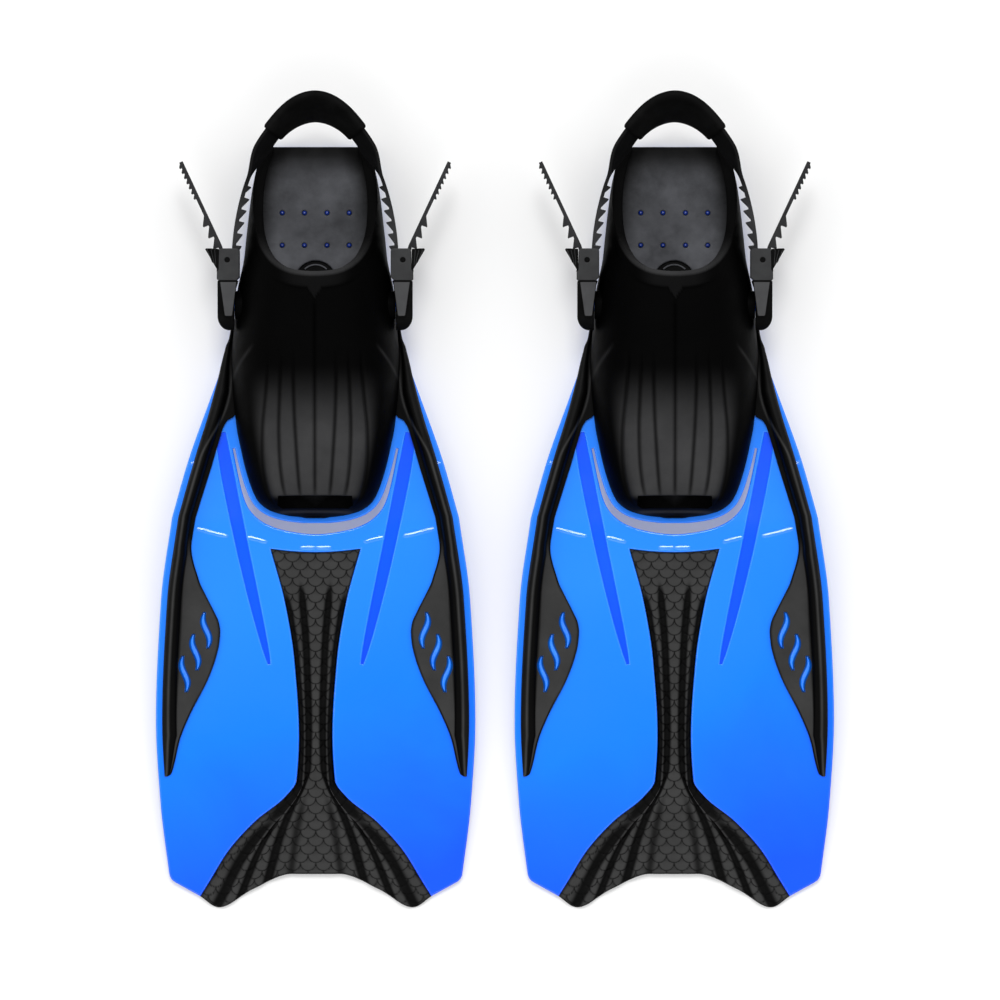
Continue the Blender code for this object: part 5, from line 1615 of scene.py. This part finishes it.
class StrapPath:
    """Middle of the band at +X, from the heel round the bar to the tail's tip."""

    def __init__(self) -> None:
        """Draws the line as dense points."""
        (bar_x, bar_y), power = KIT.bar, 2.0 / KIT.power
        across, reach = bar_x - KIT.wrap, KIT.reach - bar_y
        turns = np.linspace(0.5 * math.pi, 0.0, 110)
        line = [(across * math.cos(t) ** power, bar_y + reach * math.sin(t) ** power) for t in turns]
        line[0] = (0.0, KIT.reach)
        line += arc(KIT.bar, KIT.wrap, 1.0, 2.0, 31)[1:]
        foot = (bar_x + KIT.wrap, bar_y + KIT.tail_rise)
        for turn in np.linspace(0.0, KIT.tail_lean, 12):
            line.append((foot[0] + KIT.tail_bend * (1.0 - math.cos(turn)), foot[1] + KIT.tail_bend * math.sin(turn)))
        way = np.array((math.sin(KIT.tail_lean), math.cos(KIT.tail_lean)))
        start = np.array(line[-1])
        line += [tuple(start + way * KIT.tail_length * share) for share in np.linspace(0.025, 1.0, 40)]
        self.line = np.array(line)
        self.run = np.concatenate(([0.0], np.cumsum(np.linalg.norm(np.diff(self.line, axis=0), axis=1))))
        along = directions(self.line)
        along[0] = (1.0, 0.0)
        self.across = np.stack((-along[:, 1], along[:, 0]), axis=1)

    def at(self, distance: Array, offset: Array) -> Array:
        """Places by their distance from the heel, set off away from the heel's middle.

        Args:
            distance: Distances along the band.
            offset: Offsets across its thickness.
        Returns:
            The places.
        """
        spots, sides = (read_line(rows, self.run, distance) for rows in (self.line, self.across))
        return spots + offset[:, None] * sides

    def spot(self, distance: Array, across: Array, rise: Array) -> Array:
        """Places in the band's section, which leans out behind the heel and is upright at the buckles.

        Args:
            distance: Distances along the band.
            across: Offsets across its thickness.
            rise: Offsets across its width.
        Returns:
            The places.
        """
        lean = KIT.lean * faded(KIT.lean_hold, KIT.lean_end, distance)
        flat = self.at(distance, across * np.cos(lean) + rise * np.sin(lean))
        return np.concatenate((flat, (rise * np.cos(lean) - across * np.sin(lean))[:, None]), axis=1)

    def nearest(self, x: float, y: float) -> float:
        """Distance from the heel of the point that is nearest to a place."""
        return float(self.run[int(np.argmin(np.hypot(self.line[:, 0] - x, self.line[:, 1] - y)))])


@dataclass(frozen=True)
class HeelStrap:
    """Toothed rubber band round the heel, over both bars and out to both tails."""

    pitch: float = 7.8 * MM
    ramp: float = 6.6 * MM
    draft: float = 0.2 * MM
    tip: float = 0.9 * MM
    least_tip: float = 0.7 * MM
    side_start: float = 1.2
    tail_start: float = 0.5
    fine_pitch: float = 3.6 * MM
    fine_scale: float = 0.4
    counts: tuple[int, int, int] = (6, 3, 7)
    last_scale: float = 0.7
    rim: float = 0.28 * MM
    shade: float = 0.85
    shade_start: Span = (58.0 * MM, 84.0 * MM)
    shade_sides: Span = (50.0 * MM, 58.0 * MM)

    def teeth(self, path: StrapPath) -> list[Point]:
        """Distance of each tooth's steep face from the heel, and its scale."""
        bar_x, bar_y = KIT.bar
        bar = path.nearest(bar_x - KIT.wrap, bar_y)
        pawl = path.nearest(bar_x + KIT.wrap, KIT.arm_length + KIT.pawl_rise)
        end = float(path.run[-1]) - self.fine_pitch
        side, tail, fine = self.counts
        teeth = [(bar - self.pitch * (index + self.side_start), 1.0 if index < side - 1 else self.last_scale)
                 for index in range(side)]
        teeth += [(pawl + self.pitch * (index + self.tail_start), 1.0) for index in range(tail)]
        return sorted(teeth + [(end - self.fine_pitch * index, self.fine_scale) for index in range(fine)])

    def stations(self, path: StrapPath) -> Array:
        """Distance from the heel and place of the toothed face, at each ring of the band."""
        low = 0.5 * KIT.thick
        rows = [(float(distance), -low) for distance in path.run]
        for place, scale in self.teeth(path):
            end, flat = place + scale * self.ramp, place + max(scale * self.tip, self.least_tip)
            rows = [item for item in rows if not place - PLAN.fit < item[0] < end + PLAN.fit]
            high = -low - scale * KIT.tooth_high
            rows += [(place, -low), (place + scale * self.draft, high), (flat, high), (end, -low)]
        return np.array(sorted(rows))

    def build(self) -> None:
        """Builds the strap and adds it to both fins."""
        path = StrapPath()
        rows = self.stations(path)
        half, outer, rim = 0.5 * KIT.band, 0.5 * KIT.thick, self.rim
        rises = np.array((half - rim, half, half, half - rim, rim - half, -half, -half, rim - half))
        insets = np.array((0.0, rim, -rim, 0.0, 0.0, -rim, rim, 0.0))
        faces = np.array((1, 1, 0, 0, 0, 0, 1, 1))
        last = len(rows) - 1

        def shape(u: Array, v: Array) -> Array:
            """Rings from one tail's tip over the heel to the other's."""
            ring = np.rint(2.0 * last * v).astype(int) - last
            corner = np.rint(8.0 * u).astype(int) % 8
            distance, inner = rows[np.abs(ring)].T
            across = np.where(faces[corner] == 1, outer, inner) - insets[corner]
            spots = path.spot(distance, across, rises[corner])
            spots[:, 0] *= np.where(ring < 0, -1.0, 1.0)
            return spots

        mesh = mesh_of(capped(sheet(8, 2 * last, shape)))
        # Painted shade on the band behind the heel, round the pad.
        x, y, _ = points_of(mesh).T
        under = eased(*self.shade_start, y) * faded(*self.shade_sides, np.abs(x))
        add_both("heel_strap", set_relief(mesh, 1.0 - self.shade * under), Carrier.STRAP, "strap_rubber", STRAP)


@dataclass(frozen=True)
class HeelPad:
    """Soft moulded sleeve on the band behind the heel, crowned across and drawn in at its ends."""

    columns: int = 72
    rows: int = 110
    band: float = 40.0 * MM
    end_band: float = 26.0 * MM
    thick: float = 6.4 * MM
    half: float = 27.0 * MM
    taper: float = 0.08
    powers: Span = (0.55, 0.4)
    crown: float = 0.16
    end_width: float = 0.9
    end_pull: float = 2.5

    def shape(self, u: Array, v: Array) -> Array:
        """Places on the sleeve.

        Args:
            u: Share round the section.
            v: Share along, from end to end.
        Returns:
            The places.
        """
        path = StrapPath()
        reach = path.run[int(np.argmax(path.line[:, 0] > self.half))]
        along, turn = 2.0 * v - 1.0, math.tau * u
        close = np.clip((np.abs(along) - 1.0 + self.taper) / self.taper, 0.0, 1.0)
        full = np.sqrt(np.clip(1.0 - close ** 2, 0.0, 1.0))
        lean, lift = np.cos(turn), np.sin(turn)
        across = 0.5 * self.thick * signed_power(lean, self.powers[0]) * full
        crown = 1.0 - self.crown * np.abs(lift) ** 3
        band = self.band + (self.end_band - self.band) * eased(0.0, 1.0, np.abs(along))
        rise = 0.5 * band * signed_power(lift, self.powers[1]) * at_least(self.end_width, full)
        rise *= np.minimum(1.0, self.end_pull * full)
        place = path.spot(np.abs(along) * reach, across * crown, rise)
        place[:, 0] *= np.where(along < 0.0, -1.0, 1.0)
        return place

    def build(self) -> None:
        """Builds the pad and adds it to both fins."""
        mesh = mesh_of(capped(sheet(self.columns, self.rows, self.shape)))
        for pad in add_both("heel_pad", mesh, Carrier.STRAP, "strap_rubber", PAD):
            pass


def along_x(bm: BM) -> None:
    """Turns a body drawn flat in (y, z) and raised along Z so that it is raised along X."""
    bmesh.ops.rotate(bm, cent=(0.0, 0.0, 0.0), verts=bm.verts,
                     matrix=Matrix(((0.0, 0.0, 1.0), (1.0, 0.0, 0.0), (0.0, 1.0, 0.0))))


@dataclass(frozen=True)
class Buckle:
    """Swinging arm, clipped-in frame and sprung release lever of one side, drawn at +X."""

    tongue: Triple = (7.5 * MM, 10.0 * MM, 4.5 * MM)
    corner: float = 9.0 * MM
    eye_bore: float = 1.7 * MM
    floor: Span = (0.4 * MM, 1.8 * MM)
    floor_lap: float = 0.5 * MM
    flare: float = 5.0 * MM
    bevel: float = 0.6 * MM
    cheek_bevel: float = 0.8 * MM
    cheek_turn: float = 0.16
    cheek_lap: float = 1.0 * MM
    cheek_proud: float = 0.3 * MM
    cheek_rims: Span = (0.45 * MM, 0.2 * MM)
    arm_rims: Span = (1.0 * MM, 0.6 * MM)
    panel_gap: float = 0.4 * MM
    panel_near: Span = (0.9 * MM, 1.6 * MM)
    panel_root: float = 2.0 * MM
    panel_inset: float = 1.3 * MM
    panel_taper: float = 3.0 * MM
    panel_start: float = -0.42
    panel_proud: float = 0.5 * MM
    lever_rim: float = 0.35 * MM
    flange_rim: float = 0.3 * MM
    flange_lap: float = 0.2 * MM
    ribs: Triple = (0.28, 0.56, 0.84)
    rib_tail: Span = (0.25, 0.2)
    rib_half: float = 0.22 * MM
    rib_root: float = 0.5 * MM
    rib_proud: float = 0.25 * MM
    rib_rim: float = 0.1 * MM
    notches: int = 4
    notch_start: float = 0.88
    notch_pitch: float = 0.16
    notch_depth: float = 0.7 * MM
    notch_shape: tuple[Point, ...] = ((0.0, 0.0), (0.02, 0.7), (0.04, 1.0), (0.06, 0.7), (0.08, 0.0))
    pawl_half: float = 1.05 * MM
    pawl_reach: float = 1.6 * MM
    pawl_back: float = 1.0 * MM
    wire: float = 0.35 * MM
    coil_radius: float = 1.95 * MM
    coil_pitch: float = 1.25 * MM
    coil_leg: float = 2.4 * MM
    turns: int = 3

    def arm(self) -> Mesh:
        """Black arm round the strap post, with a tapered panel on its upper side painted grey as painted light on its
        flat top.
        """
        outer = KIT.cheeks[1]
        end = [(y * KIT.arm_toe / KIT.arm_end, z) for y, z in arc((0.0, 0.0), KIT.arm_end, 0.55, 1.45, 26)]
        top = KIT.frame_ends[0]
        outline = [(top, -outer), (top, outer), (0.5 * KIT.arm_length, outer), *end,
                   (0.5 * KIT.arm_length, -outer)]
        bm = bmesh.new()
        plate(bm, outline, 0.0, KIT.arm_thick, self.arm_rims[0], under=self.arm_rims[1], steps=4)
        for vert in bm.verts:
            y, share = vert.co.x, vert.co.z / KIT.arm_thick
            drop = max(0.0, self.corner - KIT.arm_toe - y) / self.corner
            near = KIT.arm_in - KIT.frame_step * float(eased(0.5 * KIT.arm_length, KIT.arm_length, np.array(y)))
            far = KIT.arm_in + KIT.arm_thick - 0.8 * self.corner * (1.0 - math.sqrt(max(0.0, 1.0 - drop * drop)))
            vert.co.z = near + share * (far - near)
        along_x(bm)
        near, far = KIT.arm_in, KIT.arm_in + KIT.arm_thick - self.panel_inset
        high, low = KIT.arm_length - self.panel_gap, self.panel_start * KIT.arm_length
        end, bevel = far - self.panel_taper, self.cheek_bevel
        panel = [(near - 0.8 * KIT.frame_step, high), (far, high), (end, low), (end - bevel, low - bevel),
                 (near + self.panel_near[1], low - bevel), (near + self.panel_near[0], low)]
        raised = plate(bm, panel, outer - self.panel_root, outer + self.panel_proud, self.lever_rim, steps=2)
        paint(raised, Slot.SECOND)
        return mesh_of(bm)

    def frame(self) -> Mesh:
        """Two cheeks on a floor, with a tongue into the arm and holes for the bar and the pin."""
        inner, outer = KIT.cheeks
        low, top = KIT.frame_ends
        near = KIT.arm_in - KIT.frame_step - self.cheek_lap
        far, turn = KIT.arm_in - KIT.frame_step + KIT.frame_width, self.cheek_turn * KIT.frame_width
        foot, bevel = KIT.pivot[0] + KIT.eye, self.cheek_bevel
        cheek = [(near + turn, low), (foot - bevel, low), (foot, low + bevel), *arc(KIT.pivot, KIT.eye, 0.0, 0.3, 5),
                 *arc((far - turn, top - turn), turn, 0.0, 0.5, 6), *arc((near + turn, top - turn), turn, 0.5, 1.0, 6),
                 (near, low + turn)]
        holes = [circle(KIT.bar, self.eye_bore, 24)]
        bm = bmesh.new()
        outside, inside = self.cheek_rims
        plate(bm, cheek, inner, outer + self.cheek_proud, outside, holes, under=inside)
        plate(bm, cheek, -outer - self.cheek_proud, -inner, inside, holes, under=outside)
        left, right = near + 0.2 * KIT.frame_width, KIT.pivot[0] - KIT.eye - KIT.play
        floor = oblong(left, right, low + self.floor[0], low + self.floor[1])
        plate(bm, floor, -inner - self.floor_lap, inner + self.floor_lap, 0.0)
        length, wide, deep = self.tongue
        x = KIT.bar[0] - 0.5 * deep
        plate(bm, oblong(x, x + deep, low - length, low + bevel), -0.5 * wide, 0.5 * wide, self.flange_rim,
              under=self.flange_rim, steps=2)
        return mesh_of(bm)

    def lever(self) -> Mesh:
        """Black release lever: an eye with room for the spring, a pawl and a notched wing with ribs painted grey as
        painted highlights.
        """
        (pivot_x, pivot_y), (bar_x, _) = KIT.pivot, KIT.bar
        half = KIT.cheeks[0] - 0.5 * KIT.play
        face = bar_x + KIT.wrap + 0.5 * KIT.thick + KIT.tooth_high + KIT.play
        tip, pawl = face - KIT.play - self.pawl_reach, KIT.arm_length + KIT.pawl_rise
        wing, top = face + self.flare, KIT.frame_ends[1]
        eye = arc(KIT.pivot, KIT.eye, 0.0, -1.0, 14)
        low = np.array((pivot_x + KIT.eye, pivot_y + KIT.eye))
        edge = np.array((wing, top)) - low
        steps: list[Point] = []
        for index in range(self.notches):
            for back, depth in self.notch_shape:
                point = low + (self.notch_start - self.notch_pitch * index - back) * edge
                steps.append((point[0] - depth * self.notch_depth, point[1]))
        corner = [(wing - self.bevel, top), (wing, top - self.bevel)]
        outline = [tuple(low), *eye, (pivot_x - KIT.eye, pivot_y + 0.5 * KIT.eye), (face, pawl - 2.0 * self.pawl_half),
                   (tip, pawl - 0.5 * self.pawl_half), (tip, pawl + 0.5 * self.pawl_half),
                   (face, pawl + 2.0 * self.pawl_half), (face + self.pawl_back, top), *corner]
        hole = circle(KIT.pivot, KIT.pin_radius + PLAN.fit, 16)
        bm = bmesh.new()
        plate(bm, outline + steps, -half, half, self.lever_rim, [hole], under=self.lever_rim, steps=2)
        body, bm = mesh_of(bm), bmesh.new()
        room, gap = KIT.eye + KIT.play, 0.5 * self.turns * self.coil_pitch + self.wire + PLAN.fit
        well = oblong(pivot_x - 2.0 * room, pivot_x + 2.0 * room, pivot_y - 2.0 * room, pivot_y + room)
        plate(bm, well, -gap, gap, 0.0)
        bm = bmesh_of(cut(body, mesh_of(bm)))
        near, high = KIT.arm_in - KIT.frame_step + KIT.frame_width + PLAN.fit, KIT.cheeks[1]
        foot = np.array((pivot_x + KIT.eye + PLAN.fit, pivot_y + 0.3 * KIT.eye))
        flange = [(near, top - self.flange_rim), (near, foot[1] + 1.5 * KIT.eye), tuple(foot), tuple(low),
                  *corner[::-1]]
        for level in (half - self.flange_lap, -high):
            plate(bm, flange, level, level + high - half + self.flange_lap, self.flange_rim, under=self.flange_rim,
                  steps=2)
        for share in self.ribs:
            head = np.array((near + share * (wing - near), top - self.cheek_bevel))
            way = head - foot
            side = self.rib_half * np.array((way[1], -way[0])) / np.linalg.norm(way)
            tail = foot + (self.rib_tail[0] + self.rib_tail[1] * share) * way
            rib = [tuple(tail - side), tuple(tail + side), tuple(head + side), tuple(head - side)]
            raised = plate(bm, rib, high - self.rib_root, high + self.rib_proud, self.rib_rim, steps=2)
            paint(raised, Slot.SECOND)
        return mesh_of(bm)

    def spring(self) -> Mesh:
        """Torsion spring round the lever's pin, one unbroken wire with a short leg at each end."""
        count = self.turns + 0.25
        turns = -0.5 * math.pi - math.tau * np.linspace(0.0, count, 160)
        rises = self.coil_pitch * np.linspace(-0.5 * count, 0.5 * count, len(turns))
        line = np.stack((self.coil_radius * np.cos(turns), self.coil_radius * np.sin(turns), rises), axis=1)
        legs = [(line[end] - line[end + step]) * (1.0, 1.0, 0.0) for end, step in ((0, 1), (-1, -1))]
        legs = [self.coil_leg * leg / np.linalg.norm(leg) for leg in legs]
        line = np.concatenate(([line[0] + legs[0]], line, [line[-1] + legs[1]]))
        steps = np.linspace(0.0, 1.0, len(line))
        along = directions(line)

        def shape(u: Array, v: Array) -> Array:
            """Round wire along the line, closed at both ends."""
            spots, ways = (read_line(rows, steps, v) for rows in (line, along))
            side = np.cross(ways, (0.0, 0.0, 1.0))
            side /= np.linalg.norm(side, axis=1)[:, None]
            up = np.cross(side, ways)
            radius = self.wire * np.where((v < 1e-6) | (v > 1.0 - 1e-6), 0.0, 1.0)
            turn = math.tau * u
            return spots + (radius * np.cos(turn))[:, None] * side + (radius * np.sin(turn))[:, None] * up

        bm = sheet(12, len(line) + 1, shape)
        bmesh.ops.translate(bm, vec=(*KIT.pivot, 0.0), verts=bm.verts)
        return mesh_of(bm)

    def build(self) -> None:
        """Builds the buckles and adds them to both fins."""
        add_sides("buckle_arm", self.arm(), Carrier.STRAP, "buckle_plastic", BLACK, BUCKLE_LIT_GREY)
        add_sides("buckle_frame", self.frame(), Carrier.STRAP, "buckle_plastic", FRAME_LIT_GREY)
        add_sides("lever_spring", self.spring(), Carrier.STRAP, "steel", STEEL)
        add_sides("release_lever", self.lever(), Carrier.LEVER, "buckle_plastic", BLACK, BUCKLE_LIT_GREY)


def dress_nodes() -> None:
    """Gives the posts, bars and pins, whose shapes are right, their finishes."""
    finishes = {"post": POST_BLUE, "strap_bar": BLACK, "lever_pin": FRAME_LIT_GREY}
    for fin in FINS:
        for base, finish in finishes.items():
            for side in Side:
                data = frame["nodes"][f"{fin.side.value}_fin_{base}_{side.value}"].data
                data.materials.clear()
                data.materials.append(PAINTS.of(finish))


# Floor, light and camera

@dataclass(frozen=True)
class Studio:
    """White floor, soft suns from round about and a long-lens camera straight above."""

    width: float = 638.0 * MM
    distance: float = 10.0
    sensor: float = 36.0
    aim: Point = (3.2 * MM, -0.1 * MM)
    floor_size: float = 40.0
    floor_gap: float = 0.1 * MM
    suns: tuple[tuple[float, float, float, float], ...] = (
        (90.0, 62.0, 1.4, 20.0), (150.0, 48.0, 0.9, 60.0), (30.0, 48.0, 0.8, 60.0), (-60.0, 45.0, 0.7, 60.0),
        (-130.0, 45.0, 0.7, 60.0))
    sky: float = 0.32
    floor_glow: float = 0.22
    floor_tone: float = 0.62

    def floor(self) -> None:
        """Lays the floor."""
        bm = bmesh.new()
        bmesh.ops.create_grid(bm, x_segments=1, y_segments=1, size=0.5 * self.floor_size)
        bmesh.ops.translate(bm, vec=(0.0, 0.0, -self.floor_gap), verts=bm.verts)
        item = placed("floor", mesh_of(bm))
        material = bpy.data.materials.new("white_floor")
        material.use_nodes = True
        shader = material.node_tree.nodes["Principled BSDF"]
        shader.inputs["Base Color"].default_value = (self.floor_tone, self.floor_tone, self.floor_tone, 1.0)
        shader.inputs["Emission Color"].default_value = (1.0, 1.0, 1.0, 1.0)
        shader.inputs["Emission Strength"].default_value = self.floor_glow
        shader.inputs["Roughness"].default_value = 1.0
        shader.inputs["Specular IOR Level"].default_value = 0.0
        item.data.materials.append(material)

    def light(self) -> None:
        """Sets the suns and the even sky."""
        for index, (azimuth, height, strength, spread) in enumerate(self.suns):
            data = bpy.data.lights.new(f"sun_{index}", "SUN")
            data.energy, data.angle = strength, math.radians(spread)
            turn, lift = math.radians(azimuth), math.radians(height)
            way = Vector((math.cos(turn) * math.cos(lift), math.sin(turn) * math.cos(lift), math.sin(lift)))
            placed(f"sun_{index}", data).rotation_euler = way.to_track_quat("Z", "Y").to_euler()
        world = bpy.data.worlds.new("sky")
        world.use_nodes = True
        world.node_tree.nodes["Background"].inputs["Color"].default_value = (1.0, 1.0, 1.0, 1.0)
        world.node_tree.nodes["Background"].inputs["Strength"].default_value = self.sky
        bpy.context.scene.world = world

    def camera(self) -> None:
        """Sets the camera, which looks straight down with the heels at the top."""
        data = bpy.data.cameras.new("camera")
        data.sensor_width = self.sensor
        data.lens = self.sensor * self.distance / self.width
        data.clip_end = 4.0 * self.distance
        item = placed("camera", data)
        item.location = (*self.aim, self.distance)
        bpy.context.scene.camera = item

    def build(self) -> None:
        """Sets the whole stage."""
        self.camera()
        self.floor()
        self.light()
        bpy.context.scene.view_settings.view_transform = "Standard"


def main() -> None:
    """Builds every piece."""
    logging.basicConfig(level=logging.INFO, format="%(message)s")
    Studio().build()
    for part in (Blade(), TailInsert(), Rail(), FootPocket(), Footbed(), HeelStrap(), HeelPad(), Buckle()):
        part.build()
    dress_nodes()


if __name__ == "__main__":
    main()
